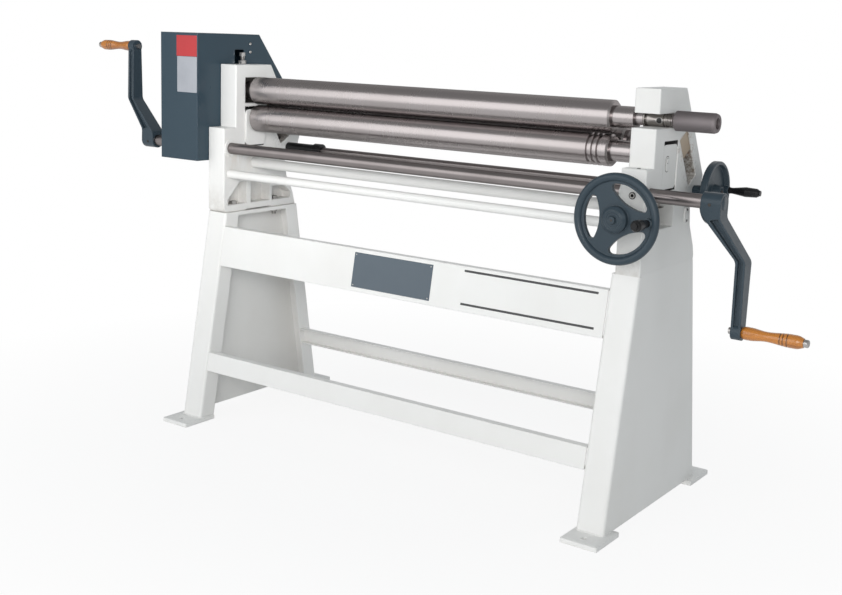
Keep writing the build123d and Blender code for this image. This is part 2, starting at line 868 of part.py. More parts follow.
rear_near_x = inner_x + block_recess
rear_far_x = outer_x - block_recess
rear_length = rear_far_x - rear_near_x
thread_end_gap = 1


def rear_bearing(side):
    """Slanted bearing block with a blind journal bore and a nut tail for its screw."""
    plane = Plane.YZ.offset(side * rear_near_x)
    with BuildPart() as block:
        with BuildSketch(plane):
            with Locations((rear_roll_y, rear_roll_z)):
                Rectangle(2 * rear_block_half, rear_block_length, rotation=guide_tilt)
        extrude(amount=side * rear_length)
        tail = Plane(
            origin=(side * mid_x, *guide_point(rear_tail_bottom)), x_dir=(1, 0, 0), z_dir=(0, *guide_up)
        )
        with BuildSketch(tail):
            Circle(rear_tail_r)
        extrude(amount=-rear_tail_bottom - rear_block_length / 2)
        with BuildSketch(tail):
            Circle(rear_screw_r + free_gap)
        thread_depth = rear_screw_tip + rear_travel - rear_tail_bottom + thread_end_gap
        extrude(amount=thread_depth, mode=Mode.SUBTRACT)
        with BuildSketch(plane):
            with Locations((rear_roll_y, rear_roll_z)):
                Circle(rear_journal_r + running_gap)
        extrude(amount=side * (rear_length - blind_end), mode=Mode.SUBTRACT)
    return block


save(rear_bearing(-1), "rear_left_bearing")
save(rear_bearing(1), "rear_right_bearing")
rear_journal_end = rear_far_x - blind_end - shoulder_gap
rear_shoulder = inner_x - shoulder_gap
rear_roll_outline = [
    (-rear_journal_end, rear_journal_r),
    (-rear_shoulder, rear_journal_r),
    (-rear_shoulder, neck_r),
    (roll_left_x, neck_r),
    (roll_left_x, roll_r),
    (roll_right_x - roll_chamfer, roll_r),
    (roll_right_x, roll_r - roll_chamfer),
    (roll_right_x, neck_r),
    (rear_shoulder, neck_r),
    (rear_shoulder, rear_journal_r),
    (rear_journal_end, rear_journal_r),
]
save(along_x(rear_roll_y, rear_roll_z, rear_roll_outline), "rear_roll")


# Lift of the lower roll: handwheel spindle, cross shaft, bevel gears and two screws

lift_gear_hub_r = 13
lift_bore_r = 8
lift_gear_reach = lift_module * lift_pinion_teeth / 2
lift_pinion_reach = lift_module * lift_gear_teeth / 2
lift_gear_hub = lift_pocket_above - lift_gear_reach - sliding_gap
lift_pinion_hub_r = 8.5
lift_cone = hypot(lift_gear_reach, lift_pinion_reach)
lift_pinion_small = lift_pinion_reach * (1 - lift_face / lift_cone)
for side, name in ((-1, "left"), (1, "right")):
    apex = (side * mid_x, roll_y, lift_z)
    gear = bevel_gear(
        apex, (0, 0, 1), (-side, 0, 0), lift_gear_teeth, lift_pinion_teeth, lift_module, lift_face,
        (lift_gear_hub_r, lift_gear_hub), lift_bore_r, 0,
    )
    save(gear, f"{name}_lift_gear")
    collar_low_z = guide_bottom_z - lift_collar_height
    lift_screw_outline = [
        (lift_z + lift_gear_reach, lift_bore_r),
        (lift_pocket_top_z - sliding_gap, lift_bore_r),
        (lift_pocket_top_z - sliding_gap, lift_screw_r),
        (collar_low_z, lift_screw_r),
        (collar_low_z, lift_collar_r),
        (guide_bottom_z - sliding_gap, lift_collar_r),
        (guide_bottom_z - sliding_gap, lift_screw_r),
        (block_bottom_z + lift_thread, lift_screw_r),
    ]
    save(turned((side * mid_x, roll_y, 0), (0, 0, 1), lift_screw_outline), f"{name}_lift_screw")

lift_shaft_end = mid_x - lift_pinion_reach - sliding_gap
lift_neck_end = mid_x - lift_pinion_small
lift_shaft_outline = [
    (-lift_neck_end, lift_neck_r),
    (-lift_shaft_end, lift_neck_r),
    (-lift_shaft_end, lift_shaft_r),
    (lift_shaft_end, lift_shaft_r),
    (lift_shaft_end, lift_neck_r),
    (lift_neck_end, lift_neck_r),
]
save(along_x(roll_y, lift_z, lift_shaft_outline), "lift_cross_shaft")

half_pinion = 180 / lift_pinion_teeth
shaft_pinion = bevel_gear(
    (mid_x, roll_y, lift_z), (-1, 0, 0), (0, 0, 1), lift_pinion_teeth, lift_gear_teeth,
    lift_module, lift_face, (lift_pinion_hub_r, sliding_gap), lift_neck_r, half_pinion,
)
with BuildPart() as lift_shaft_pinions:
    add(shaft_pinion.part)
    mirror(about=Plane.YZ)
save(lift_shaft_pinions, "lift_shaft_pinions")

spindle_hub = 8
spindle_pinion = bevel_gear(
    (mid_x, roll_y, lift_z), (0, -1, 0), (0, 0, 1), lift_pinion_teeth, lift_gear_teeth,
    lift_module, lift_face, (lift_pinion_hub_r, spindle_hub), lift_neck_r, half_pinion,
)
save(spindle_pinion, "lift_spindle_pinion")

spindle_proud = 28
spindle_front_y = lift_wheel_y - spindle_proud
spindle_shoulder_y = roll_y - lift_pinion_reach - spindle_hub
lift_spindle_outline = [
    (spindle_front_y, lift_shaft_r),
    (spindle_shoulder_y, lift_shaft_r),
    (spindle_shoulder_y, lift_neck_r),
    (roll_y - lift_pinion_small, lift_neck_r),
]
save(turned((mid_x, 0, lift_z), (0, 1, 0), lift_spindle_outline), "lift_spindle")


# Handwheels and their knobs

knob_boss_r = 13
lift_web = 13
lift_web_set = 5
window_in = 47
window_out = 92
window_curve = 120
window_round = 10


def bored_wheel(wheel, wheel_plane, reach, boss_r, knob_radius, knob_turn, bore_r):
    """A handwheel with the boss for its turning knob and with its two bores."""
    with BuildPart() as bored:
        add(wheel.part)
        with BuildSketch(wheel_plane.offset(reach[0])):
            with PolarLocations(knob_radius, 1, knob_turn):
                Circle(boss_r)
        extrude(amount=reach[1] - reach[0])
        with BuildSketch(wheel_plane):
            Circle(bore_r)
            with PolarLocations(knob_radius, 1, knob_turn):
                Circle(stud_r)
        extrude(amount=2 * knob_radius, both=True, mode=Mode.SUBTRACT)
    return bored


def armed_wheel(centre, axis, across, rim_r, section_r, hub_outline, bore_r, knob_radius):
    """Cast handwheel: round rim, a web set back with three bean-shaped windows, hub and knob boss."""
    wheel_plane = Plane(origin=centre, x_dir=across, z_dir=axis)
    web_plane = wheel_plane.offset(-lift_web_set)
    with BuildPart() as wheel:
        with BuildSketch(Plane(origin=centre, x_dir=across, z_dir=wheel_plane.y_dir)):
            with Locations((rim_r, 0)):
                Circle(section_r)
        revolve(axis=Axis(centre, axis))
        with BuildSketch(web_plane):
            Circle(rim_r)
        extrude(amount=lift_web / 2, both=True)
        with BuildSketch(web_plane) as windows:
            with PolarLocations(window_in + window_curve, 3, 60):
                Circle(window_curve)
            Circle(window_out, mode=Mode.INTERSECT)
            fillet(windows.vertices(), window_round)
        extrude(amount=lift_web, both=True, mode=Mode.SUBTRACT)
        with BuildSketch(Plane(origin=centre, x_dir=axis, z_dir=across)):
            with BuildLine():
                Polyline((hub_outline[0][0], 0), *hub_outline, (hub_outline[-1][0], 0), close=True)
            make_face()
        revolve(axis=Axis(centre, axis))
    return bored_wheel(wheel, wheel_plane, (-section_r, section_r), knob_boss_r, knob_radius, 0, bore_r)


stud_r = 5
stud_head = 4
stud_head_r = 8
lift_hub_r = 35
lift_hub_nose_r = 27
lift_hub_tail_r = 20
lift_hub_proud = 4
lift_hub_taper = 20
spindle_tip = 6
lift_hub_outline = [
    (spindle_proud - spindle_tip, lift_hub_nose_r),
    (lift_rim_r + lift_hub_proud, lift_hub_r),
    (-lift_rim_r, lift_hub_r),
    (-lift_rim_r - lift_hub_taper, lift_hub_nose_r),
    (lift_wheel_y - lower_front_y + free_gap, lift_hub_tail_r),
]
lift_wheel = armed_wheel(
    (mid_x, lift_wheel_y, lift_z), (0, -1, 0), (1, 0, 0), lift_wheel_r, lift_rim_r,
    lift_hub_outline, lift_shaft_r, lift_knob_radius,
)
save(lift_wheel, "lift_handwheel")

knob_gap = 1
knob_length = 66
knob_r = 15
knob_end_r = 11
knob_root_r = 10
knob_waist_r = 9
knob_waist = 8
knob_dome = 6
knob_belly_r = 14
knob_near_y = lift_wheel_y - lift_rim_r - knob_gap
knob_x = mid_x + lift_knob_radius
stud_front_y = knob_near_y - knob_length - stud_head - free_gap
knob_stud_outline = [
    (stud_front_y, stud_head_r),
    (stud_front_y + stud_head, stud_head_r),
    (stud_front_y + stud_head, stud_r),
    (lift_wheel_y + lift_rim_r, stud_r),
]
save(turned((knob_x, 0, lift_z), (0, 1, 0), knob_stud_outline), "lift_knob_stud")
knob_outline = [
    (knob_near_y - knob_length, knob_end_r),
    (knob_near_y - knob_length + knob_dome, knob_r),
    (knob_near_y - knob_length / 2, knob_belly_r),
    (knob_near_y - knob_waist, knob_waist_r),
    (knob_near_y, knob_root_r),
]
save(turned((knob_x, 0, lift_z), (0, 1, 0), knob_outline, stud_r + running_gap), "lift_knob")

adjust_proud = 22
adjust_tip = 2
adjust_end_x = rear_wheel_x + adjust_proud
rear_half = rear_wheel_width / 2
rear_web = 8
rear_rim_depth = 9
rear_rim_slope = 4
rear_rim_round = 2
rear_hub_front_r = 24
rear_hub_nose_r = 18
rear_hub_tail_r = 15
rear_hub_taper = 10
rear_boss_r = 12
rear_boss_proud = 2
rear_web_r = rear_wheel_r - rear_rim_depth - rear_rim_slope
rear_wheel_outline = [
    (outer_x - rear_wheel_x + free_gap, rear_hub_tail_r),
    (-rear_half - rear_hub_taper, rear_hub_nose_r),
    (-rear_half, rear_hub_front_r),
    (-rear_half, rear_wheel_r - rear_rim_round),
    (-rear_half + rear_rim_round, rear_wheel_r),
    (rear_half - rear_rim_round, rear_wheel_r),
    (rear_half, rear_wheel_r - rear_rim_round),
    (rear_half, rear_wheel_r - rear_rim_depth),
    (-rear_half + rear_web, rear_web_r),
    (-rear_half + rear_web, rear_hub_front_r),
    (adjust_proud - adjust_tip, rear_hub_nose_r),
]
wheel_centre = (rear_wheel_x, apex_y, apex_z)
with BuildPart() as dished_wheel:
    with BuildSketch(Plane(origin=wheel_centre, x_dir=(1, 0, 0), z_dir=(0, 1, 0))):
        with BuildLine():
            ends = [(rear_wheel_outline[0][0], 0), (rear_wheel_outline[-1][0], 0)]
            Polyline(ends[0], *rear_wheel_outline, ends[1], close=True)
        make_face()
    revolve(axis=Axis(wheel_centre, (1, 0, 0)))
rear_wheel_plane = Plane(origin=wheel_centre, x_dir=(0, 1, 0), z_dir=(1, 0, 0))
rear_boss_reach = (-rear_half, rear_half + rear_boss_proud)
rear_wheel = bored_wheel(
    dished_wheel, rear_wheel_plane, rear_boss_reach, rear_boss_r,
    rear_handle_radius, rear_handle_turn, adjust_neck_r,
)
save(rear_wheel, "rear_handwheel")

handle_y = apex_y + rear_handle_radius * cos(radians(rear_handle_turn))
handle_z = apex_z + rear_handle_radius * sin(radians(rear_handle_turn))
handle_length = 86
handle_r = 14
handle_root_r = 9
handle_waist_r = 8.5
handle_taper_r = 12.5
handle_end_r = 9
handle_waist = 10
handle_belly = 48
handle_dome = 6
handle_near_x = rear_wheel_x + rear_half + rear_boss_proud + knob_gap
handle_far_x = handle_near_x + handle_length
handle_stud_outline = [
    (rear_wheel_x - rear_half, stud_r),
    (handle_far_x + free_gap, stud_r),
    (handle_far_x + free_gap, stud_head_r),
    (handle_far_x + free_gap + stud_head, stud_head_r),
]
save(along_x(handle_y, handle_z, handle_stud_outline), "rear_handle_stud")
handle_outline = [
    (handle_near_x, handle_root_r),
    (handle_near_x + handle_waist, handle_waist_r),
    (handle_near_x + handle_belly, handle_r),
    (handle_far_x - handle_dome, handle_taper_r),
    (handle_far_x, handle_end_r),
]
save(along_x(handle_y, handle_z, handle_outline, stud_r + running_gap), "rear_wheel_handle")


# Rear adjustment: shaft, bevel gears and two slanted screws

rear_reach = rear_module * rear_gear_teeth / 2
rear_cone = hypot(rear_reach, rear_reach)
rear_bore_r = 7
rear_hub_r = 12
rear_gear_hub = rear_cavity_top - sliding_gap - apex_along - rear_reach
rear_pinion_hub = 8
half_rear = 180 / rear_gear_teeth
up_the_guide = (0, *guide_up)
for side, name in ((-1, "left"), (1, "right")):
    apex = (side * mid_x, apex_y, apex_z)
    gear = bevel_gear(
        apex, up_the_guide, (-1, 0, 0), rear_gear_teeth, rear_gear_teeth, rear_module, rear_face,
        (rear_hub_r, rear_gear_hub), rear_bore_r, 0,
    )
    save(gear, f"{name}_rear_gear")
    rear_screw_outline = [
        (apex_along + rear_reach, rear_bore_r),
        (rear_cavity_top - sliding_gap, rear_bore_r),
        (rear_cavity_top - sliding_gap, rear_screw_r),
        (rear_slot_bottom - rear_collar_height, rear_screw_r),
        (rear_slot_bottom - rear_collar_height, rear_collar_r),
        (rear_slot_bottom - sliding_gap, rear_collar_r),
        (rear_slot_bottom - sliding_gap, rear_screw_r),
        (rear_screw_tip, rear_screw_r),
    ]
    origin = (side * mid_x, rear_roll_y, rear_roll_z)
    save(turned(origin, up_the_guide, rear_screw_outline), f"{name}_rear_screw")

right_pinion = bevel_gear(
    (mid_x, apex_y, apex_z), (-1, 0, 0), up_the_guide, rear_gear_teeth, rear_gear_teeth,
    rear_module, rear_face, (rear_hub_r, rear_pinion_hub), adjust_neck_r, half_rear,
)
with BuildPart() as rear_adjust_pinions:
    add(right_pinion.part)
    add(right_pinion.part.moved(Location((-2 * mid_x, 0, 0))))
save(rear_adjust_pinions, "rear_adjust_pinions")

adjust_far_x = -mid_x - rear_reach - rear_pinion_hub
adjust_outline = [
    (adjust_far_x, adjust_neck_r),
    (-inner_x + free_gap, adjust_neck_r),
    (-inner_x + free_gap, adjust_r),
    (inner_x - rear_cavity_wall, adjust_r),
    (inner_x - rear_cavity_wall, adjust_neck_r),
    (adjust_end_x, adjust_neck_r),
]
save(along_x(apex_y, apex_z, adjust_outline), "rear_adjust_shaft")

sleeve_length = 124
sleeve_r = 17.5
sleeve_flange_r = 22
sleeve_flange = 30
sleeve_far_x = -inner_x + sleeve_length
sleeve_outline = [
    (-inner_x, sleeve_r),
    (sleeve_far_x, sleeve_r),
    (sleeve_far_x, sleeve_flange_r),
    (sleeve_far_x + sleeve_flange, sleeve_flange_r),
]
save(along_x(apex_y, apex_z, sleeve_outline, adjust_r + running_gap), "adjust_shaft_sleeve")

oval_y = 93.5
oval_z = 839
oval_height = 46
oval_width = 26
oval_thickness = 4
with BuildPart() as oval_plate:
    with BuildSketch(Plane.YZ.offset(outer_x)):
        with Locations((oval_y, oval_z)):
            SlotOverall(oval_height, oval_width, rotation=90)
    extrude(amount=oval_thickness)
save(oval_plate, "oval_plate")


# Drive: shaft, bushes, pinion, cranks and wooden handles

drive_left_x = left_hub_x - hub_length / 2
drive_right_x = right_hub_x + hub_length / 2
save(along_x(drive_y, drive_z, [(drive_left_x, drive_r), (drive_right_x, drive_r)]), "drive_shaft")

drive_bush_outline = [
    (inner_x - drive_bush_flange, drive_bush_r + drive_bush_lip),
    (inner_x, drive_bush_r + drive_bush_lip),
    (inner_x, drive_bush_r),
    (outer_x, drive_bush_r),
]
with BuildPart() as drive_shaft_bushes:
    add(along_x(drive_y, drive_z, drive_bush_outline, drive_r + running_gap).part)
    mirror(about=Plane.YZ)
save(drive_shaft_bushes, "drive_shaft_bushes")

pinion_pitch_r = coarse_module * pinion_teeth / 2
save(
    spur_gear(bull_near_x, bull_width, drive_y, drive_z, pinion_teeth, pinion_pitch_r, mesh_angle, drive_r),
    "drive_pinion",
)


def crank_arm(side, hub_x, way):
    """Offset cast crank: hub, ribbed arm that bends outwards, and a boss; way is +1 up and -1 down."""
    boss_x = hub_x + side * crank_offset
    bend_z = drive_z + way * crank_bend
    end_z = drive_z + way * crank_radius
    hub_half = side * hub_length / 2
    half = side * arm_thickness / 2
    rim = side * arm_rim
    outer_z = drive_z + way * hub_outer_drop
    inner_z = drive_z + way * hub_inner_drop
    outline = [
        (hub_x + hub_half, drive_z),
        (hub_x + hub_half, outer_z),
        (boss_x + half, bend_z),
        (boss_x + half, end_z),
        (boss_x - half, end_z),
        (boss_x - half, bend_z),
        (hub_x - hub_half, inner_z),
        (hub_x - hub_half, drive_z),
    ]
    recess = [
        (hub_x + hub_half - rim, outer_z),
        (boss_x + half - rim, bend_z),
        (boss_x + half - rim, end_z),
        (boss_x - half + rim, end_z),
        (boss_x - half + rim, bend_z),
        (hub_x, outer_z + way * arm_rim),
    ]

    arm_plane = Plane.XZ.offset(-drive_y)
    with BuildPart() as arm:
        with BuildSketch(arm_plane) as flat:
            with BuildLine():
                Polyline(*outline, close=True)
            make_face()
            ends = (drive_z, end_z)
            bends = flat.vertices().filter_by(lambda point: min(abs(point.Y - z) for z in ends) > free_gap)
            fillet(bends, arm_bend)
        extrude(amount=arm_width_hub / 2, both=True)
        for face in (-1, 1):
            with BuildSketch(arm_plane.offset(face * arm_web / 2)):
                with BuildLine():
                    Polyline(*recess, close=True)
                make_face()
            extrude(amount=face * arm_width_hub, mode=Mode.SUBTRACT)
        taper = Plane.YZ.offset(hub_x - side * hub_length)
        with BuildSketch(taper):
            with BuildLine():
                Polyline(
                    (drive_y - arm_width_hub / 2, drive_z),
                    (drive_y - arm_width_boss / 2, end_z),
                    (drive_y + arm_width_boss / 2, end_z),
                    (drive_y + arm_width_hub / 2, drive_z),
                    close=True,
                )
            make_face()
        extrude(amount=side * (2 * hub_length + crank_offset), mode=Mode.INTERSECT)
        with BuildSketch(Plane.YZ.offset(hub_x - hub_length / 2)):
            with Locations((drive_y, drive_z)):
                Circle(hub_r)
        extrude(amount=hub_length)
        with BuildSketch(Plane.YZ.offset(boss_x - boss_length / 2)):
            with Locations((drive_y, end_z)):
                Circle(boss_r)
        extrude(amount=boss_length)
        with BuildSketch(Plane.YZ.offset(hub_x - hub_length / 2)):
            with Locations((drive_y, drive_z)):
                Circle(drive_r)
        extrude(amount=hub_length, mode=Mode.SUBTRACT)
        with BuildSketch(Plane.YZ.offset(boss_x - boss_length)):
            with Locations((drive_y, end_z)):
                Circle(spindle_r)
        extrude(amount=2 * boss_length, mode=Mode.SUBTRACT)
    return arm


def wood_handle(near_x, side, axis_z):
    """Turned handle: a rounded root, a swell, a slim waist, a long belly and a domed end."""
    plane = axis_plane((near_x, drive_y, axis_z), (side, 0, 0))
    bore_r = spindle_r + running_gap
    with BuildPart() as handle:
        with BuildSketch(plane):
            with BuildLine():
                flank = Spline(
                    (0, wood_root_r),
                    (wood_round, wood_shoulder_r),
                    (wood_swell, wood_swell_r),
                    (wood_waist, wood_waist_r),
                    (wood_belly, wood_belly_r),
                    (wood_length - wood_dome, wood_dome_r),
                    (wood_length, wood_end_r),
                )
                Polyline(flank @ 1, (wood_length, bore_r), (0, bore_r), flank @ 0)
            make_face()
        revolve(axis=Axis(plane.origin, plane.x_dir))
    return handle


spindles = []
for side, name, hub_x, way in ((-1, "left", left_hub_x, 1), (1, "right", right_hub_x, -1)):
    save(crank_arm(side, hub_x, way), f"{name}_crank_arm")
    boss_x = hub_x + side * crank_offset
    wood_near_x = boss_x + side * (boss_length / 2 + free_gap)
    wood_far_x = wood_near_x + side * wood_length
    grip_z = drive_z + way * crank_radius
    spindle_outline = [
        (boss_x - side * (boss_length / 2 + rivet_proud), rivet_r),
        (boss_x - side * boss_length / 2, rivet_r),
        (boss_x - side * boss_length / 2, spindle_r),
        (wood_far_x + side * free_gap, spindle_r),
        (wood_far_x + side * free_gap, nut_r),
        (wood_far_x + side * (free_gap + nut_length - nut_dome), nut_r),
        (wood_far_x + side * (free_gap + nut_length), nut_r - nut_dome),
    ]
    spindles.append(along_x(drive_y, grip_z, spindle_outline).part)
    save(wood_handle(wood_near_x, side, grip_z), f"{name}_wood_handle")

with BuildPart() as handle_spindles:
    for spindle in spindles:
        add(spindle)
save(handle_spindles, "handle_spindles")


# Gear cover

cover_right_x = -outer_x
cover_opening_front = -174
cover_opening_rear = 120
cover_opening_low = 886
cover_opening_high = 1176
cover_step_y = -118
cover_ledge_drop = 8
cover_opening_slope = 40
cover_shaft_gap = 1.5
cover_notch_half = 22
cover_notch_height = 48
cover_outline = [
    (cover_front_y, cover_bottom_z),
    (cover_front_y, cover_top_z),
    (cover_top_rear_y, cover_top_z),
    (cover_rear_y, cover_rear_z),
    (cover_rear_y, cover_bottom_z),
]
with BuildPart() as gear_cover:
    with BuildSketch(Plane.YZ.offset(cover_right_x)):
        with BuildLine():
            Polyline(*cover_outline, close=True)
        make_face()
    extrude(amount=cover_left_x - cover_right_x)
    offset(amount=-cover_wall, mode=Mode.SUBTRACT, kind=Kind.INTERSECTION)
    front_bends = gear_cover.edges().filter_by(Axis.Z).group_by(Axis.Y)[0]
    fillet(front_bends, cover_bend)
    with BuildSketch(Plane.YZ.offset(cover_right_x)):
        with BuildLine():
            Polyline(
                (cover_opening_front, cover_opening_low),
                (cover_opening_front, ledge_z - cover_ledge_drop),
                (cover_step_y, ledge_z - cover_ledge_drop),
                (cover_step_y, cover_opening_high),
                (cover_top_rear_y - cover_opening_slope, cover_opening_high),
                (cover_opening_rear, ledge_z),
                (cover_opening_rear, cover_opening_low),
                close=True,
            )
        make_face()
        with Locations((roll_y, casting_top_z + cover_notch_height / 2)):
            Rectangle(2 * cover_notch_half, cover_notch_height)
    extrude(amount=-2 * cover_wall, mode=Mode.SUBTRACT)
    with BuildSketch(Plane.YZ.offset(cover_left_x)):
        with Locations((drive_y, drive_z)):
            Circle(drive_r + cover_shaft_gap)
    extrude(amount=2 * cover_wall, mode=Mode.SUBTRACT)
save(gear_cover, "gear_cover")

cover_screw_inset = 44
cover_screw_rises = (68, 40)
cover_screw_r = 5
cover_screw_height = 4
cover_screw_y = cover_top_rear_y - cover_screw_inset
with BuildPart() as cover_screws:
    with BuildSketch(Plane.YZ.offset(cover_right_x)):
        with Locations(*[(cover_screw_y, casting_top_z + rise) for rise in cover_screw_rises]):
            Circle(cover_screw_r)
    extrude(amount=cover_screw_height)
save(cover_screws, "cover_screws")
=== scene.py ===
"""A hand-driven plate rolling machine, dressed for a studio picture.

The scene is in metres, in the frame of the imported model. Modelled surfaces are worked out in millimetres.
"""

import bpy
import numpy as np
from mathutils import Matrix, Vector


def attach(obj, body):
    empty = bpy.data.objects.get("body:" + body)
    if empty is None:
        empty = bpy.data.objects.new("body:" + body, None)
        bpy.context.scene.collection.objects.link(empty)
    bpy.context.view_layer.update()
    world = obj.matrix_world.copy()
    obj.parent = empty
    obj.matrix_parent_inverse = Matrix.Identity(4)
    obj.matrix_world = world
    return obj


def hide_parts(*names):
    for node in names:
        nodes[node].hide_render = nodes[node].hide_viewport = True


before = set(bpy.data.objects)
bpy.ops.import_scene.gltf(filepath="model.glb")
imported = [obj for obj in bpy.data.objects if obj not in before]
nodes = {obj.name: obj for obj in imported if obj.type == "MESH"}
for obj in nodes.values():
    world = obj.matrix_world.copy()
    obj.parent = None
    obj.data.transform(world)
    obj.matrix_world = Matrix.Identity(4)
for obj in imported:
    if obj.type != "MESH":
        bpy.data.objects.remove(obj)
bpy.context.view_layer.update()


# Stands and rails: channel legs and cross rails folded from sheet steel and welded, then sprayed with cream
# enamel. The enamel has a fine orange peel, dust in broad patches, and edges where the paint is thin,
# painted paler both as worn paint and as a painted highlight.


class Wire:
    """A shader socket in a tree. Arithmetic on wires and numbers adds Math nodes; node() adds any other."""

    def __init__(self, tree, socket=None):
        self.tree = tree
        self.socket = socket

    def node(self, kind, settings=None, inputs=None, output=0):
        """Add a node, apply its settings, fill or link its sockets, and give back one of its outputs."""
        made = self.tree.nodes.new(kind)
        for name, value in (settings or {}).items():
            setattr(made, name, value)
        for name, value in (inputs or {}).items():
            if isinstance(value, Wire):
                self.tree.links.new(value.socket, made.inputs[name])
            else:
                made.inputs[name].default_value = value
        return Wire(self.tree, made.outputs[output])

    def maths(self, operation, first, second=0.0):
        return self.node("ShaderNodeMath", {"operation": operation}, {0: first, 1: second})

    def __add__(self, other):
        return self.maths("ADD", self, other)

    def __sub__(self, other):
        return self.maths("SUBTRACT", self, other)

    def __rsub__(self, other):
        return self.maths("SUBTRACT", other, self)

    def __mul__(self, other):
        return self.maths("MULTIPLY", self, other)

    __radd__ = __add__
    __rmul__ = __mul__

    def size(self):
        """Value without its sign."""
        return self.maths("ABSOLUTE", self)

    def part(self, axis):
        """One coordinate of a place."""
        return self.node("ShaderNodeSeparateXYZ", None, {0: self}, axis)

    def clamp(self):
        return self.node("ShaderNodeClamp", None, {"Value": self})

    def above(self, limit, steepness=4000.0):
        """Share that climbs from 0 at a limit to 1 above it."""
        return ((self - limit) * steepness).clamp()

    def below(self, limit, steepness=4000.0):
        """Share that climbs from 0 at a limit to 1 below it."""
        return ((limit - self) * steepness).clamp()

    def mix(self, low, high):
        """Colour between two colours, with this wire as the share of the second."""
        low, high = [end if isinstance(end, Wire) else (*end, 1.0) for end in (low, high)]
        return self.node("ShaderNodeMix", {"data_type": "RGBA"}, {"Factor": self, 6: low, 7: high}, 2)


def finish(name, roughness, metallic=0.0, coat=0.0, coat_roughness=0.1):
    """New material: the material, its principled surface, and the place on the object as a wire."""
    material = bpy.data.materials.new(name)
    material.use_nodes = True
    surface = material.node_tree.nodes["Principled BSDF"]
    surface.inputs["Roughness"].default_value = roughness
    surface.inputs["Metallic"].default_value = metallic
    surface.inputs["Coat Weight"].default_value = coat
    surface.inputs["Coat Roughness"].default_value = coat_roughness
    start = Wire(material.node_tree)
    return material, surface, start.node("ShaderNodeTexCoord", None, None, "Object")


def noise(place, scale, detail=3.0, roughness=0.5, stretch=(1.0, 1.0, 1.0)):
    """Cloud value around a half, with its pattern stretched along the axes."""
    spread = place.node("ShaderNodeMapping", None, {"Vector": place, "Scale": stretch})
    inputs = {"Vector": spread, "Scale": scale, "Detail": detail, "Roughness": roughness}
    return place.node("ShaderNodeTexNoise", None, inputs, "Fac")


def lay(surface, socket, wire):
    """Link a wire to one socket of a principled surface."""
    wire.tree.links.new(wire.socket, surface.inputs[socket])


def rounded(place, radius):
    """Normal with edges rounded to a radius, and a mask that is 1 where an edge is."""
    soft = place.node("ShaderNodeBevel", {"samples": 6}, {"Radius": radius})
    flat = place.node("ShaderNodeNewGeometry", None, None, "Normal")
    dot = {"operation": "DOT_PRODUCT"}
    likeness = place.node("ShaderNodeVectorMath", dot, {0: soft, 1: flat}, "Value")
    return soft, likeness.below(1.0, 4.0)


def relief(surface, height, strength, distance, soft=None):
    """Bump a surface by a height wire, on top of its rounded edges where these are given."""
    inputs = {"Height": height, "Strength": strength, "Distance": distance}
    if soft is not None:
        inputs["Normal"] = soft
    lay(surface, "Normal", height.node("ShaderNodeBump", None, inputs))


def filled_joint(place, joint_z=0.700, reach=0.009, outer_x=0.793, front_y=-0.178):
    """Share that is 1 near the joint of a stand and its casting, on the outer and front faces, where filler
    hides it.
    """
    near = (place.part("Z") - joint_z).size().below(reach, 400.0)
    outer = place.part("X").size().above(outer_x, 2000.0)
    front = place.part("Y").below(front_y, 2000.0)
    return near * (outer + front).clamp()


def enamel(
    name, colour, dusty, worn_and_lit_edge, edge=0.0025, peel=0.25, lumps=0.0, roughness=0.36, gloss=0.5, marks=()
):
    """Sprayed enamel: dusty patches and runs, orange peel, cast lumps below the paint, and edges painted
    paler, as rubbed paint and as a painted highlight.

    Marks are pairs: a function of the place that gives a share, and the colour that covers the paint there.
    """
    material, surface, place = finish(name, roughness)
    surface.inputs["Specular IOR Level"].default_value = gloss
    soft, rim = rounded(place, edge)
    filled = filled_joint(place)
    flat = place.node("ShaderNodeNewGeometry", None, None, "Normal")
    soft = place.node("ShaderNodeMix", {"data_type": "VECTOR"}, {"Factor": filled, 4: soft, 5: flat}, 1)
    patches = noise(place, 3.2, detail=4.0, roughness=0.55)
    runs = noise(place, 9.0, detail=3.0, roughness=0.6, stretch=(1.0, 1.0, 0.25))
    soil = ((patches - 0.42) * 1.6 + (runs - 0.5) * 0.8).clamp()
    scuffs = noise(place, 34.0, detail=4.0, roughness=0.65)
    # The edge colour is paler: worn paint, and also a painted highlight along the edges.
    edge_wear_and_highlight = (rim * (1.0 - filled) * scuffs.above(0.35, 2.0)).clamp()
    shade = edge_wear_and_highlight.mix(soil.mix(colour, dusty), worn_and_lit_edge)
    for share, cover in marks:
        shade = share(place).mix(shade, cover)
    lay(surface, "Base Color", shade)
    lay(surface, "Roughness", soil * 0.14 + (noise(place, 60.0) - 0.5) * 0.12 + roughness)
    height = noise(place, 420.0, detail=2.0) * peel
    if lumps:
        height = height + noise(place, 55.0, detail=4.0, roughness=0.6) * lumps
    relief(surface, height, strength=0.35, distance=0.0012, soft=soft)
    return material


def paint(material, *names):
    """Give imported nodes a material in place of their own."""
    for name in names:
        nodes[name].data.materials.clear()
        nodes[name].data.materials.append(material)


cream = enamel("cream_enamel", (0.82, 0.81, 0.79), (0.77, 0.755, 0.725), (0.87, 0.86, 0.84))
paint(cream, "left_stand", "right_stand", "front_apron", "front_lower_rail", "rear_lower_rail")
paint(cream, "front_tie_bar", "lift_shaft_tube")


# Foot plates: thick steel flats with eased edges and one bolt hole each, welded under the legs and painted
# with them. A rippled weld bead runs round the leg on each plate.


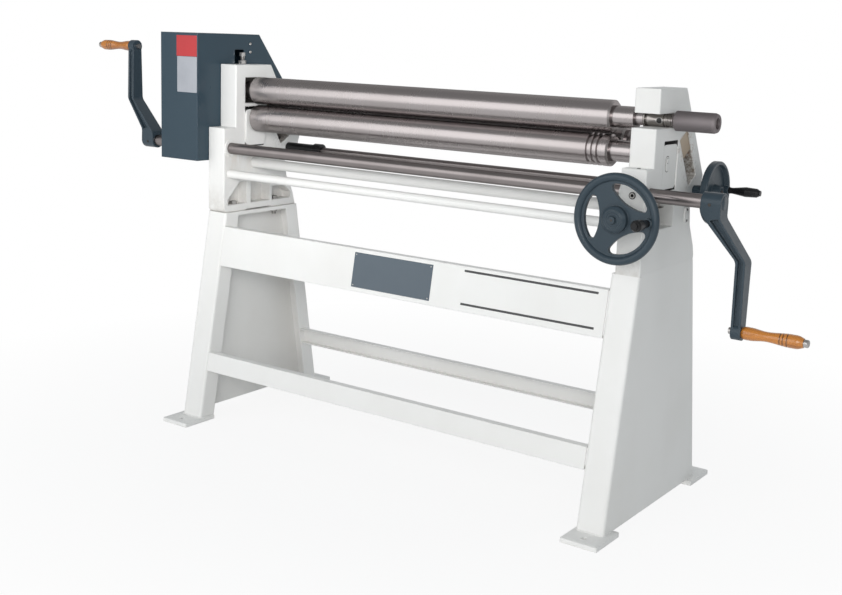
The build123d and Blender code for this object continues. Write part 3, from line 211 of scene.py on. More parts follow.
def shell(name, grids, body, material, ring=False):
    """Piece from grids of points in millimetres, rows by columns.

    Columns run round and join, and with ring the rows do too. A row whose points meet becomes one pole, and
    each shell is turned outwards by the sign of its volume.
    """
    vertices, faces, count = [], [], 0
    for points in grids:
        rows, columns = points.shape[:2]
        number = np.arange(rows * columns).reshape(rows, columns)
        poles = np.ptp(points, axis=1).max(axis=1) < 1e-6
        number[poles] = number[poles][:, :1]
        below, above = (number, np.roll(number, -1, 0)) if ring else (number[:-1], number[1:])
        quads = np.stack((below, np.roll(below, -1, 1), np.roll(above, -1, 1), above), -1).reshape(-1, 4)
        flat = points.reshape(-1, 3) - points.reshape(-1, 3).mean(0)
        first, second, third, fourth = flat[quads].transpose(1, 0, 2)
        volume = (first * (np.cross(second, third) + np.cross(third, fourth))).sum()
        quads = quads if volume > 0 else quads[:, ::-1]
        kept, quads = np.unique(quads, return_inverse=True)
        quads = quads.reshape(-1, 4) + count
        start, end = quads[:, 0] == quads[:, 1], quads[:, 2] == quads[:, 3]
        faces += quads[~start & ~end].tolist()
        faces += quads[start][:, 1:].tolist() + quads[end][:, :3].tolist()
        vertices.append(points.reshape(-1, 3)[kept] * 0.001)
        count += len(kept)
    mesh = bpy.data.meshes.new(name)
    mesh.from_pydata(np.concatenate(vertices).tolist(), [], faces)
    mesh.shade_smooth()
    mesh.set_sharp_from_angle(angle=np.radians(32))
    mesh.materials.append(material)
    piece = bpy.data.objects.new(name, mesh)
    bpy.context.scene.collection.objects.link(piece)
    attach(piece, body)
    return piece


def rounded_outline(width, height, corner, inset=0.0, steps=9):
    """Points (x, y) round a rectangle whose corners are arcs of the radius corner - inset."""
    angle = np.linspace(0.0, np.pi / 2, steps) + np.arange(4)[:, None] * np.pi / 2
    radius = corner - inset
    across = np.array([1, -1, -1, 1])[:, None] * (width / 2 - corner) + radius * np.cos(angle)
    upward = np.array([1, 1, -1, -1])[:, None] * (height / 2 - corner) + radius * np.sin(angle)
    return np.stack((across.ravel(), upward.ravel()), -1)


def bolt_plate(middle, hole, width=110.0, depth=135.0, corner=5.0, hole_r=9.0, thickness=13.5, ease=2.5):
    """Grid of a plate with a hole: rows climb the hole, cross to the outline, go round its edge and come
    back below. Each row is a share of the way to the outline, a swell of the hole, an inset and a level.
    """
    hole = np.array(hole)
    rows = []
    for share, swell, inset, level in (
        (0, 0.0, 0, 0.0),
        (0, 0.0, 0, thickness - 1.0),
        (0, 1.0, 0, thickness),
        (0.5, 1.0, ease, thickness),
        (1, 0, ease, thickness),
        (1, 0, ease * 0.3, thickness - ease * 0.3),
        (1, 0, 0, thickness - ease),
        (1, 0, 0, 1.0),
        (1, 0, 0.8, 0.0),
        (0.5, 0, 0.8, 0.0),
    ):
        edge = rounded_outline(width, depth, corner, inset) + middle
        way = edge - hole
        rim = hole + way / np.linalg.norm(way, axis=1)[:, None] * (hole_r + swell)
        rows.append(np.column_stack((rim * (1 - share) + edge * share, np.full(len(edge), level))))
    return np.array(rows)


leg_x, plate_y, hole_y = 760.0, 307.5, 340.0
corners = [(side, end) for side in (-1, 1) for end in (-1, 1)]
plates = [bolt_plate((leg_x * side, plate_y * end), (leg_x * side, hole_y * end)) for side, end in corners]
foot_plates = shell("floor_plates", plates, "frame", cream, ring=True)
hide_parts("foot_plates")


along_x, along_y, along_z = np.eye(3)


def weld_bead(path, radius, ripple=4.5, depth=0.14, sides=10):
    """Grid of a bead along a path on a plate: a circle whose radius swells by a sine along the path and
    closes at both ends.
    """
    steps = np.linalg.norm(np.diff(path, axis=0), axis=1)
    run = np.concatenate(([0.0], np.cumsum(steps)))
    way = np.gradient(path, axis=0)
    way /= np.linalg.norm(way, axis=1)[:, None]
    aside = np.column_stack((way[:, 1], -way[:, 0], np.zeros(len(path))))
    ends = np.clip(np.minimum(run, run[-1] - run) / radius, 0.0, 1.0) ** 0.5
    swell = radius * ends * (1.0 + depth * np.sin(2 * np.pi * run / ripple))
    angle = 2 * np.pi * np.arange(sides) / sides
    circle = np.cos(angle)[None, :, None] * aside[:, None] + np.sin(angle)[None, :, None] * along_z
    return path[:, None] + swell[:, None, None] * circle


def leg_path(side, end, outer_x=797.0, inner_x=712.3, front_y=300.5, bend_r=9.0, level=13.8):
    """Path round three sides of a leg's foot: straight, quarter turn, straight, quarter turn, straight."""
    turn = np.linspace(0.0, np.pi / 2, 12)
    back_y, turn_y = 244.0, front_y - bend_r
    outer_turn_x, inner_turn_x = outer_x - bend_r, 721.5
    sides_y = np.linspace(back_y, turn_y - 0.5, 40)
    outer = np.column_stack((np.full(40, outer_x), sides_y))
    first = np.column_stack((outer_turn_x + bend_r * np.cos(turn), turn_y + bend_r * np.sin(turn)))
    front = np.column_stack((np.linspace(outer_turn_x - 1.0, inner_turn_x + 1.0, 50), np.full(50, front_y)))
    second = np.column_stack((inner_turn_x - bend_r * np.sin(turn), turn_y + bend_r * np.cos(turn)))
    inner = np.column_stack((np.full(40, inner_x), sides_y[::-1]))
    flat = np.concatenate((outer, first, front, second, inner)) * (side, end)
    return np.column_stack((flat, np.full(len(flat), level)))


beads = [weld_bead(leg_path(*corner), radius=2.2) for corner in corners]
shell("leg_welds", beads, "frame", cream)


# Apron fittings: a bare dark plate pinned at its corners to the apron's sloping face, and two black painted
# lines to the right of it. The face between the lines stays plain enamel.

apron_low, apron_high = np.array((0.0, -211.91, 526.0)), np.array((0.0, -189.56, 656.0))
slope = (apron_high - apron_low) / np.linalg.norm(apron_high - apron_low)
outward = np.array((0.0, -slope[2], slope[1]))


def flat_sheet(middle, along, upward, out, width, height, thickness, corner, ease):
    """Grid of a thin plate on a face: a rounded outline carried up the edge, eased in, and closed to a pole
    on both sides.
    """
    rows = []
    top = thickness - ease
    for inset, level in ((None, 0.0), (0.0, 0.0), (0.0, top), (ease, thickness), (None, thickness)):
        outline = rounded_outline(width, height, corner, inset or 0.0) * (0.0 if inset is None else 1.0)
        rows.append(middle + outline[:, :1] * along + outline[:, 1:] * upward + level * out)
    return np.array(rows)


def on_apron(across, level):
    """Point on the apron's face at a place along it and a height."""
    return apron_low + slope * (level - apron_low[2]) / slope[2] + (across, 0.0, 0.0)


def printed(name, colour, faded, roughness, metallic=0.0):
    """Smooth film or anodised sheet: one colour that fades in soft clouds, fine scratches in the gloss."""
    material, surface, place = finish(name, roughness, metallic, coat=0.3, coat_roughness=0.2)
    clouds = noise(place, 14.0).above(0.4, 1.8)
    scratches = noise(place, 300.0, roughness=0.6, stretch=(0.05, 1.0, 1.0))
    lay(surface, "Base Color", clouds.mix(colour, faded))
    lay(surface, "Roughness", clouds * 0.1 + (scratches - 0.5) * 0.2 + roughness)
    return material


plate_x, plate_z = -3.0, 592.0
plate_dark = printed("apron_plate_film", (0.052, 0.079, 0.105), (0.062, 0.09, 0.115), 0.35)
apron_plate = flat_sheet(
    on_apron(plate_x, plate_z), along_x, slope, outward,
    width=294.0, height=107.5, thickness=1.2, corner=1.5, ease=0.4,
)
shell("apron_plate", [apron_plate], "frame", plate_dark)
black_line = printed("line_paint", (0.018, 0.018, 0.020), (0.028, 0.028, 0.030), 0.4)
lines_x = 469.5
lines = [
    flat_sheet(
        on_apron(lines_x, level), along_x, slope, outward,
        width=431.0, height=6.5, thickness=0.25, corner=0.4, ease=0.1,
    )
    for level in (643.0, 548.0)
]
shell("apron_lines", lines, "frame", black_line)


def spun(origin, axis, rows, segments=72):
    """Grid of a turned piece. Each row is (along, radius, flat): a circle round the axis, and where flat is
    set a hexagon with that half width across flats, cut by the circle: the smaller of radius and
    flat / cos(angle).
    """
    along, radius, flat = np.array([(*row, 0.0)[:3] for row in rows], float).T
    side = np.cross(axis, along_z if abs(axis[2]) < 0.9 else along_x)
    side /= np.linalg.norm(side)
    angle = 2 * np.pi * np.arange(segments) / segments
    hexagon = flat[:, None] / np.cos((angle + np.pi / 6) % (np.pi / 3) - np.pi / 6)
    reach = np.where(flat[:, None] > 0, np.minimum(radius[:, None], hexagon), radius[:, None])
    circle = np.cos(angle)[:, None] * side + np.sin(angle)[:, None] * np.cross(axis, side)
    return np.array(origin, float) + along[:, None, None] * axis + reach[..., None] * circle


def ground_steel(name, colour, tarnish, roughness, edge_tint=0.5, rings=300.0, rust=None):
    """Turned or ground steel: rings of gloss along X, cloudy tarnish, and rust where it is given."""
    material, surface, place = finish(name, roughness, metallic=1.0)
    surface.inputs["Specular Tint"].default_value = (edge_tint, edge_tint, edge_tint, 1.0)
    marks = noise(place, rings, detail=2.0, roughness=0.6, stretch=(1.0, 0.012, 0.012))
    bands = noise(place, 26.0, detail=2.0, stretch=(1.0, 0.1, 0.1))
    clouds = noise(place, 7.0, detail=2.0)
    stain = ((clouds - 0.45) * 1.2 + (bands - 0.5) * 0.4).clamp()
    shade = stain.mix(colour, tarnish)
    gloss = (marks - 0.5) * 0.02 + stain * 0.06 + roughness
    if rust:
        spread = noise(place, 22.0, detail=5.0, roughness=0.65).above(0.52, 5.0)
        shade = spread.mix(shade, rust)
        gloss = gloss + spread * 0.3
        lay(surface, "Metallic", 1.0 - spread)
    lay(surface, "Base Color", shade)
    lay(surface, "Roughness", gloss)
    return material


bright_steel = ground_steel(
    "bright_screw_steel", (0.46, 0.45, 0.44), (0.30, 0.285, 0.27), roughness=0.34, edge_tint=0.6
)
pin_rows = [(0.0, 0.0), (0.0, 2.2), (1.0, 2.2), (1.6, 2.1), (2.1, 1.4), (2.3, 0.0)]
pins = [
    spun(on_apron(plate_x + across, plate_z + level), outward, pin_rows, segments=24)
    for across in (-140.0, 140.0)
    for level in (-46.5, 46.5)
]
shell("apron_plate_pins", pins, "frame", bright_steel)


# Side castings: sand-cast iron with faces that wander a little, machined where they carry something, and
# sprayed with the same cream enamel. Filler hides their outer joints with the stands. The right one has a
# set screw in front and an oiler on its ledge.


def in_casting(place, inner_x=0.7238, outer_x=0.7937):
    """Share that is 1 within the thickness of a side casting, short of its two outer faces."""
    across = place.part("X").size()
    return across.above(inner_x) * across.below(outer_x)


# Painted shade: the upright guideway and the blocks' hidden faces are painted near black, as well as oily.
def guideway_oil_and_shade(place, middle_y=-0.037, half_width=0.0475, low_z=0.913, high_z=1.0565):
    """Share of old oil and painted shade in the upright guideway, within the casting and beside the block:
    near black over the guideway's faces and the hidden faces of the lower blocks, so the gap above a block
    is dark.
    """
    away, level = (place.part("Y") - middle_y).size(), place.part("Z")
    return away.below(half_width) * level.above(low_z) * level.below(high_z) * in_casting(place) * 0.94


def slanted(place, tilt=31.6, roll_y=0.058, roll_z=1.036):
    """Places across and along the rear roll's slanted guideway, from the roll at rest: a turn by the tilt
    in degrees.
    """
    cosine, sine = np.cos(np.radians(tilt)), np.sin(np.radians(tilt))
    back, level = place.part("Y") - roll_y, place.part("Z") - roll_z
    return back * cosine + level * sine, level * cosine - back * sine


def guideway_dirt(place, half_width=0.0285, low=-0.135, high=0.040):
    """Share of grey dirt: thick within the slanted guideway, in thinning specks over the face beside it."""
    across, along = slanted(place)
    away = across.size()
    specks = noise(place, 120.0, detail=5.0, roughness=0.7)
    inside = away.below(half_width) * in_casting(place) * specks.above(0.25, 2.4)
    beside = (1.5 - away * 22.0).clamp() * specks.above(0.50, 5.0) * 0.75
    return (inside + beside).clamp() * along.below(high, 60.0) * along.above(low, 60.0)


def guideway_rust(place, low=-0.075, high=0.045):
    """Share of rust: blotches in and close to the upper part of the slanted guideway."""
    across, along = slanted(place)
    near = (1.35 - across.size() * 24.0).clamp() * along.above(low, 30.0) * along.below(high, 40.0)
    return near * noise(place, 60.0, detail=4.0, roughness=0.65).above(0.53, 7.0) * 0.8


def shaft_oil(place, middle_y=-0.100, high_z=0.905, low_z=0.80, inner_x=0.7240):
    """Share of a brown oil stain that has run down the inner face below the drive shaft."""
    away, level = (place.part("Y") - middle_y).size(), place.part("Z")
    drop = level.below(high_z, 60.0) * level.above(low_z, 9.0) * place.part("X").size().below(inner_x)
    runs = noise(place, 45.0, detail=4.0, roughness=0.6, stretch=(1.0, 1.0, 0.2))
    return drop * (1.3 - away * 9.0).clamp() * runs.above(0.36, 2.2) * 0.6


def pocket_grime_and_shade(place, high_z=0.80):
    """Share of dust, oil and painted shade in the ribbed pocket of a casting's foot, in blotches, thicker
    towards the bottom.
    """
    blotches = noise(place, 40.0, detail=4.0, roughness=0.65).above(0.25, 1.8)
    return in_casting(place) * place.part("Z").below(high_z, 14.0) * blotches * 0.5


# The third colour is the paler edge: worn paint and a painted highlight.
cast_cream = enamel(
    "cast_cream_enamel", (0.81, 0.80, 0.78), (0.75, 0.738, 0.705), (0.86, 0.85, 0.83),
    edge=0.003, lumps=1.3, roughness=0.4,
    marks=(
        # Dust, oil and painted shade in the foot pocket, painted darker towards the bottom.
        (pocket_grime_and_shade, (0.40, 0.36, 0.31)),
        (shaft_oil, (0.50, 0.40, 0.29)),
        (guideway_dirt, (0.27, 0.235, 0.20)),
        (guideway_rust, (0.36, 0.16, 0.075)),
        # Old oil and near-black painted shade in the upright guideway and on the blocks' hidden faces.
        (guideway_oil_and_shade, (0.022, 0.021, 0.020)),
    ),
)
paint(cast_cream, "left_casting", "right_casting", "oval_plate", "lower_right_bearing", "lower_left_bearing")
paint(cast_cream, "drive_shaft_bushes")
outer_x, joint_z = 796.5, 700.0
joint_skims = [
    flat_sheet(
        np.array((side * outer_x, -2.5, joint_z)), along_y, along_z, side * along_x,
        width=341.0, height=9.0, thickness=0.25, corner=0.5, ease=0.2,
    )
    for side in (-1.0, 1.0)
]
shell("joint_skims", joint_skims, "frame", cream)
oily_dark = ground_steel("oily_dark_steel", (0.075, 0.07, 0.066), (0.035, 0.032, 0.03), roughness=0.45)


def socket_steel(name, middle, hole_r, thread_r):
    """Face of a set screw by distance from its middle: black in the middle as painted shade in the socket, a
    bright ring, and black again round it.
    """
    material, surface, place = finish(name, 0.45, metallic=0.6)
    off = place.node("ShaderNodeVectorMath", {"operation": "SUBTRACT"}, {0: place, 1: middle})
    off = place.node("ShaderNodeVectorMath", {"operation": "MULTIPLY"}, {0: off, 1: (1.0, 0.0, 1.0)})
    away = place.node("ShaderNodeVectorMath", {"operation": "LENGTH"}, {0: off}, "Value")
    # Painted shade: the socket is painted black; the rim outside the bright ring is painted black too.
    shade_and_dark_rim = (away.below(hole_r, 2500.0) + away.above(thread_r, 2500.0)).clamp()
    lay(surface, "Base Color", shade_and_dark_rim.mix((0.62, 0.60, 0.57), (0.010, 0.010, 0.010)))
    lay(surface, "Roughness", noise(place, 400.0) * 0.2 + 0.35)
    return material


set_screw_at = np.array((760.0, -182.0, 914.0))
set_screw_rows = [
    (-0.5, 0.0), (-0.5, 9.5), (1.4, 9.5), (2.0, 8.9), (2.0, 7.6), (1.6, 7.2), (1.6, 4.8),
    (1.6, 4.8, 3.6), (0.2, 4.8, 3.6), (0.2, 0.0),
]
set_screw = spun(set_screw_at, -along_y, set_screw_rows)
ring_steel = socket_steel("casting_set_screw_steel", set_screw_at * 0.001, hole_r=0.0046, thread_r=0.0072)
shell("casting_set_screw", [set_screw], "frame", ring_steel)
plate_screw_rows = [
    (-1.0, 0.0), (-1.0, 3.4), (0.6, 3.4), (1.3, 2.7), (1.6, 1.5), (1.6, 1.4), (0.9, 1.2), (0.9, 0.0),
]
plate_screws = [
    spun((800.5, 93.5, level), along_x, plate_screw_rows, segments=36) for level in (823.5, 854.5)
]
shell("oval_plate_screws", plate_screws, "frame", oily_dark)
oiler_rows = [
    (-2.0, 0.0), (-2.0, 5.0), (0.9, 5.0), (1.4, 4.5), (1.4, 3.4),
    (0.3, 3.0), (0.9, 2.4), (1.3, 1.4), (1.5, 0.0),
]
oiler = spun((765.0, -165.0, 984.0), along_z, oiler_rows, segments=36)
shell("ledge_oiler", [oiler], "frame", oily_dark)


# Bolts of the castings: hexagon screws through the foot of each casting into its stand, with nuts below. The
# heads are chamfered and the shanks have a rolled thread.


def hexagon_rows(low, high, corner_r, ease=0.16, fall=0.58, steps=5):
    """Rows of a hexagon head from low to high: full width, then a cone that cuts its corners at the top. The
    cone takes the share ease off the corners' radius, at the slope fall.
    """
    flat = corner_r * np.cos(np.pi / 6)
    cut = np.linspace(0.0, 1.0, steps)
    top = [(high - (1 - c) * corner_r * ease * fall, corner_r * (1.0 - ease * c), flat) for c in cut]
    return [(low, corner_r, flat), *top]


def thread_rows(low, high, radius, pitch=2.0, samples=6):
    """Places along a shank, with samples to each turn, close enough for a thread to be cut into it later."""
    along = np.linspace(low, high, max(2, int((high - low) / pitch * samples)))
    return [(place, radius) for place in along]


def cut_thread(grid, origin, axis, low, high, depth=1.0, pitch=2.0):
    """Cut a thread into a spun grid between two places: the radius falls by depth times a triangle wave of
    place / pitch - angle / full turn.
    """
    place = grid - np.array(origin, float)
    along = place @ axis
    radial = place - along[..., None] * axis
    turn = np.arange(grid.shape[1]) / grid.shape[1]
    wave = np.abs(((along / pitch - turn) % 1.0) * 2.0 - 1.0)
    share = np.clip(np.minimum(along - low, high - along) / pitch, 0.0, 1.0)
    radius = np.linalg.norm(radial, axis=-1)
    inside = (along >= low) & (along <= high) & (radius > 1e-6)
    scale = np.where(inside, 1.0 - depth * wave * share / np.maximum(radius, 1e-6), 1.0)
    return grid + radial * (scale - 1.0)[..., None]


def casting_bolt(across, back, shank_r=8.0, tip_r=6.6):
    """Grid of one bolt: head above the foot, plain shank, threaded end below the nut."""
    foot, top = 724.0, 734.0
    tip, low, high, plain = 669.4, 670.0, 698.0, 699.0
    head = hexagon_rows(foot, top, bolt_corner_r)[::-1]
    thread = thread_rows(low, high, shank_r)[::-1]
    rows = [(top, 0.0), *head, (foot, shank_r), (plain, shank_r), *thread, (tip, tip_r), (tip, 0.0)]
    origin = (across, back, 0.0)
    return cut_thread(spun(origin, along_z, rows, segments=48), origin, along_z, low, high)


bolt_corner_r = 13.0
bolt_places = [(side * 743.5, back) for side in (-1, 1) for back in (-118.0, 86.0)]
bolts = shell("casting_screws", [casting_bolt(*spot) for spot in bolt_places], "frame", bright_steel)
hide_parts("casting_bolts")


def nut_rows(low, high, corner_r, bore):
    """Rows of a nut: chamfered hexagon on both ends, closed through its bore."""
    upper = hexagon_rows((low + high) / 2, high, corner_r)
    lower = [(low + high - along, radius, flat) for along, radius, flat in upper[:0:-1]]
    return [*lower, *upper, (high, bore + 1.0), (high - 1.0, bore), (low + 1.0, bore), (low, bore + 1.0)]


bolt_nut_rows = nut_rows(678.0, 688.0, bolt_corner_r, bore=8.05)
nuts = [spun((*spot, 0.0), along_z, bolt_nut_rows, segments=48) for spot in bolt_places]
nuts = shell("casting_screw_nuts", nuts, "frame", bright_steel, ring=True)
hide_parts("casting_nuts")


# Rolls, shafts and gears: ground alloy steel, with faint grinding rings round the axis and a brown cast of
# oil. The rolls and shafts run in the castings' blocks and bushes, and the gears are fixed on them.

roll_steel = ground_steel(
    "ground_roll_steel", (0.40, 0.37, 0.368), (0.34, 0.305, 0.30),
    roughness=0.27, edge_tint=0.45, rings=240.0,
)
paint(roll_steel, "top_roll", "lower_roll", "rear_roll")
shaft_steel = ground_steel(
    "shaft_steel", (0.27, 0.245, 0.242), (0.19, 0.166, 0.162),
    roughness=0.30, edge_tint=0.45, rings=240.0,
)
paint(shaft_steel, "drive_shaft", "rear_adjust_shaft", "lift_cross_shaft")
gear_steel = ground_steel("gear_steel", (0.28, 0.27, 0.26), (0.15, 0.14, 0.13), roughness=0.42)
paint(gear_steel, "top_roll_gear", "lower_roll_gear", "bull_gear", "drive_pinion", "left_lift_gear")
paint(gear_steel, "right_lift_gear", "lift_shaft_pinions", "lift_spindle_pinion", "left_rear_gear")
paint(gear_steel, "right_rear_gear", "rear_adjust_pinions", "left_lift_screw", "right_lift_screw")
paint(gear_steel, "left_rear_screw", "right_rear_screw", "pivot_pin")
paint(bright_steel, "handle_spindles")


# Bearing blocks and bush: the slanted blocks are bare machined iron, browned and rusted by handling. The top
# roll's right end runs in a turned steel bush, with grooves, a bright collar and an oil hole in front. The
# oil hole is a near-black dish of painted shade inside a bright lip.

block_iron = ground_steel(
    "bare_block_iron", (0.46, 0.40, 0.33), (0.30, 0.24, 0.18),
    roughness=0.5, rings=120.0, rust=(0.40, 0.15, 0.06),
)
paint(block_iron, "rear_left_bearing", "rear_right_bearing")
paint(oily_dark, "top_left_bearing")
top_roll_y, top_roll_z = -37.0, 1107.0
bush_r, bush_bore_r = 19.2, 15.05
bush_rows = [
    (717.0, bush_bore_r), (717.0, 24.2), (717.8, 25.0), (719.0, 25.0), (719.3, 23.6), (720.3, 23.6),
    (720.6, 25.0), (721.8, 25.0), (722.5, 24.3), (722.5, bush_r), (725.4, bush_r), (725.7, 17.4),
    (728.3, 17.4), (728.6, bush_r), (774.2, bush_r), (774.6, 17.2), (777.4, 17.2), (777.7, 19.0),
    (778.1, 19.4), (782.4, 19.4), (782.8, 19.0), (782.9, 17.4), (784.0, 16.9), (795.0, 16.9),
    (795.5, 16.4), (795.5, bush_bore_r),
]
bush_steel = ground_steel("turned_bush_steel", (0.36, 0.34, 0.325), (0.22, 0.20, 0.19), roughness=0.24)
bush = spun((0.0, top_roll_y, top_roll_z), along_x, bush_rows, segments=96)
bush = shell("turned_bush", [bush], "top_swing_arm", bush_steel, ring=True)
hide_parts("top_right_bush")


def dish_on_bush(distance, lift, across=764.0, lean=-6.0, sunk=4.0, segments=40):
    """Grid of a ring or dish on the bush: distance and angle on the unrolled surface, wrapped round the
    bush's axis, lifted off it row by row, and closed below: x = d cos a, wrap = d sin a / bush radius. It
    leans by some degrees from straight in front.
    """
    distance, lift = np.array(distance)[:, None], np.array(lift)[:, None]
    angle = 2 * np.pi * np.arange(segments) / segments
    wrap = np.radians(lean) + distance * np.sin(angle) / bush_r
    reach = bush_r + lift
    place = across + distance * np.cos(angle)
    top = np.stack((place, top_roll_y - reach * np.cos(wrap), top_roll_z + reach * np.sin(wrap)), -1)
    bottom = top.mean((0, 1)) + sunk * along_y
    return np.concatenate((top, np.broadcast_to(bottom, top[:1].shape)))


lip = dish_on_bush(distance=(7.4, 7.5, 8.8, 10.2, 10.4), lift=(-0.6, 0.5, 0.7, 0.4, -0.6))
shell("bush_oil_lip", [lip], "top_swing_arm", bright_steel, ring=True)
# Painted shade: the oil hole is a near-black dish laid on the bush, standing for the hole's dark inside.
hole = dish_on_bush(distance=(0.0, 4.0, 7.0, 7.9, 8.0), lift=(0.12, 0.14, 0.16, 0.16, -0.5))
hole_shade_black = printed("painted_hole_shade", (0.006, 0.006, 0.006), (0.012, 0.011, 0.010), 0.6)
shell("bush_oil_hole", [hole], "top_swing_arm", hole_shade_black)


# Lower right bearing: the block shows at the outer side of the casting and is painted with it. A sealed
# oblong filler and its cap stand on the block's face, with dark rims of painted shade round them.

filler_y, filler_z, cap_z = -52.0, 991.0, 1000.0
filler_at = np.array((794.0, filler_y, filler_z))
filler = flat_sheet(
    filler_at, along_y, along_z, along_x, width=19.0, height=40.0, thickness=1.6, corner=9.4, ease=0.8
)
cap_rows = [(0.0, 0.0), (0.0, 7.0), (1.4, 7.0), (2.0, 6.4), (2.0, 4.2), (1.2, 3.8), (1.2, 0.0)]
cap = spun((795.0, filler_y, cap_z), along_x, cap_rows, segments=36)
shell("block_filler", [filler, cap], "lower_carriage", cast_cream)
# Painted shade: thin dark rims round the filler and its cap stand for the shadow in their seams.
filler_seam = flat_sheet(
    filler_at, along_y, along_z, along_x, width=23.0, height=44.0, thickness=0.3, corner=11.4, ease=0.1
)
cap_seam_rows = [(0.0, 0.0), (0.0, 8.3), (0.2, 8.2), (0.3, 7.9), (0.3, 0.0)]
cap_seam = spun((795.5, filler_y, cap_z), along_x, cap_seam_rows, segments=36)
seam_shade = printed("seam_shade", (0.14, 0.13, 0.12), (0.24, 0.22, 0.20), 0.6)
shell("filler_seams", [filler_seam, cap_seam], "lower_carriage", seam_shade)


# Pivot of the top roll: a screw through the top of the left casting with a locknut, both bare steel. The
# screw's head stands clear of the nut on a threaded neck.

pivot_at = (-782.0, top_roll_y, 0.0)
tip, tip_r = 1141.0, 6.6
neck_low, neck_high, neck_r = 1141.6, 1218.0, 7.8
head_low, head_high = 1219.0, 1231.0
pivot_rows = [
    (tip, 0.0), (tip, tip_r), *thread_rows(neck_low, neck_high, neck_r), (head_low, neck_r),
    *hexagon_rows(head_low, head_high, corner_r=10.5), (head_high, 0.0),
]
screw = spun(pivot_at, along_z, pivot_rows, segments=48)
screw = cut_thread(screw, pivot_at, along_z, neck_low, neck_high)
screw = shell("pivot_screw_threaded", [screw], "frame", bright_steel)
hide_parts("pivot_screw")
locknut = spun(pivot_at, along_z, nut_rows(1192.0, 1205.0, corner_r=13.5, bore=8.05), segments=48)
locknut = shell("pivot_nut", [locknut], "frame", bright_steel, ring=True)
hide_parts("pivot_lock_nut")


# Grip on the top roll's end: a steel sleeve with a diamond knurl, browned by handling and bored out at its
# end. It is fixed on the roll and turns with it.


def round_top_roll(along, radius, turn):
    """Grid of points round the top roll's axis, at places along it, with radii, at shares of a full turn."""
    angle = 2 * np.pi * turn
    place = np.broadcast_to(along, radius.shape)
    return np.stack((place, top_roll_y - radius * np.cos(angle), top_roll_z + radius * np.sin(angle)), -1)


def knurled_sleeve(near, far, radius, depth=0.35, around=77, pitch=2.2, samples=4):
    """Grid of a knurled sleeve. Two triangle waves cross, one rising and one falling with the angle; the
    radius falls by depth times one minus the smaller wave, so that diamonds stand between the grooves. The
    waves are cut off a third below their tops, which leaves the diamonds flat.
    """
    along = np.linspace(near, far, int((far - near) / pitch * samples) + 1)[:, None]
    turn = np.arange(around * samples) / (around * samples)
    left = 1.0 - np.abs(((around * turn + along / pitch) % 1.0) * 2.0 - 1.0)
    right = 1.0 - np.abs(((around * turn - along / pitch) % 1.0) * 2.0 - 1.0)
    reach = radius - depth * (1.0 - np.minimum(np.minimum(left, right) * 1.5, 1.0))
    return round_top_roll(along, reach, turn)


def plain_rings(rows, columns):
    """Grid of plain rings (along, radius) on the same axis and with the same columns."""
    along, radius = np.array(rows, float).T
    radius = np.broadcast_to(radius[:, None], (len(radius), columns))
    return round_top_roll(along[:, None], radius, np.arange(columns) / columns)


grip_r, grip_bore_r = 27.0, 15.0
knurl = knurled_sleeve(808.5, 912.0, grip_r)
nose_rows = [
    (918.0, grip_bore_r), (800.5, grip_bore_r), (800.5, 18.2), (806.5, 25.0), (806.7, 26.4),
    (807.4, grip_r), (808.2, grip_r),
]
tail_rows = [
    (912.3, grip_r), (913.5, 26.9), (920.0, 24.5), (921.2, 23.6), (921.5, 22.8), (921.5, 16.0),
    (920.6, grip_bore_r),
]
nose, tail = [plain_rings(rows, knurl.shape[1]) for rows in (nose_rows, tail_rows)]
handled_steel = ground_steel(
    "handled_knurl_steel", (0.262, 0.238, 0.244), (0.21, 0.187, 0.191), roughness=0.62, edge_tint=0.4
)
sleeve = np.concatenate((nose, knurl, tail))
sleeve = shell("knurled_grip", [sleeve], "top_roll_set", handled_steel, ring=True)
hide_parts("roll_grip")


# Cranks and handwheels: iron castings under dark blue-grey enamel, painted paler along their edges as worn
# paint and as a painted highlight. A set screw holds each crank's hub, the paint runs over the drive shaft's
# ends, and beads are turned on the lift wheel.

dark = enamel(
    "dark_enamel", (0.033, 0.051, 0.066), (0.044, 0.063, 0.079), (0.15, 0.17, 0.185),
    edge=0.004, lumps=1.2, roughness=0.34, gloss=0.3,
)
paint(dark, "left_crank_arm", "right_crank_arm", "lift_handwheel", "rear_handwheel", "lift_spindle")
hub_screw_rows = [
    (-0.5, 0.0), (-0.5, 4.2), (0.9, 4.2), (1.2, 3.9), (1.2, 2.4),
    (1.2, 2.4, 1.9), (0.2, 2.4, 1.9), (0.2, 0.0),
]
hub_screws = [
    spun((hub_x, -177.5, 912.0), -along_y, hub_screw_rows, segments=36) for hub_x in (970.0, -1100.0)
]
shell("hub_set_screws", hub_screws, "drive", oily_dark)
drive_y, drive_z = -151.6, 916.0
end_rows = [(-0.5, 0.0), (-0.5, 18.9), (0.2, 18.9), (0.4, 18.5), (0.4, 0.0)]
shaft_ends = [
    spun((end_x, drive_y, drive_z), side * along_x, end_rows) for end_x, side in ((1000.0, 1), (-1130.0, -1))
]
shell("painted_shaft_ends", shaft_ends, "drive", dark)


def turned_bead(radius, width, height):
    """Rows of one raised bead on the handwheel's hub: a low round ridge between two radii, closed below."""
    angle = np.linspace(0.0, np.pi, 9)
    ridge = [(height * np.sin(a), radius - width * np.cos(a)) for a in angle]
    return [(-1.0, radius - width), *ridge, (-1.0, radius + width)]


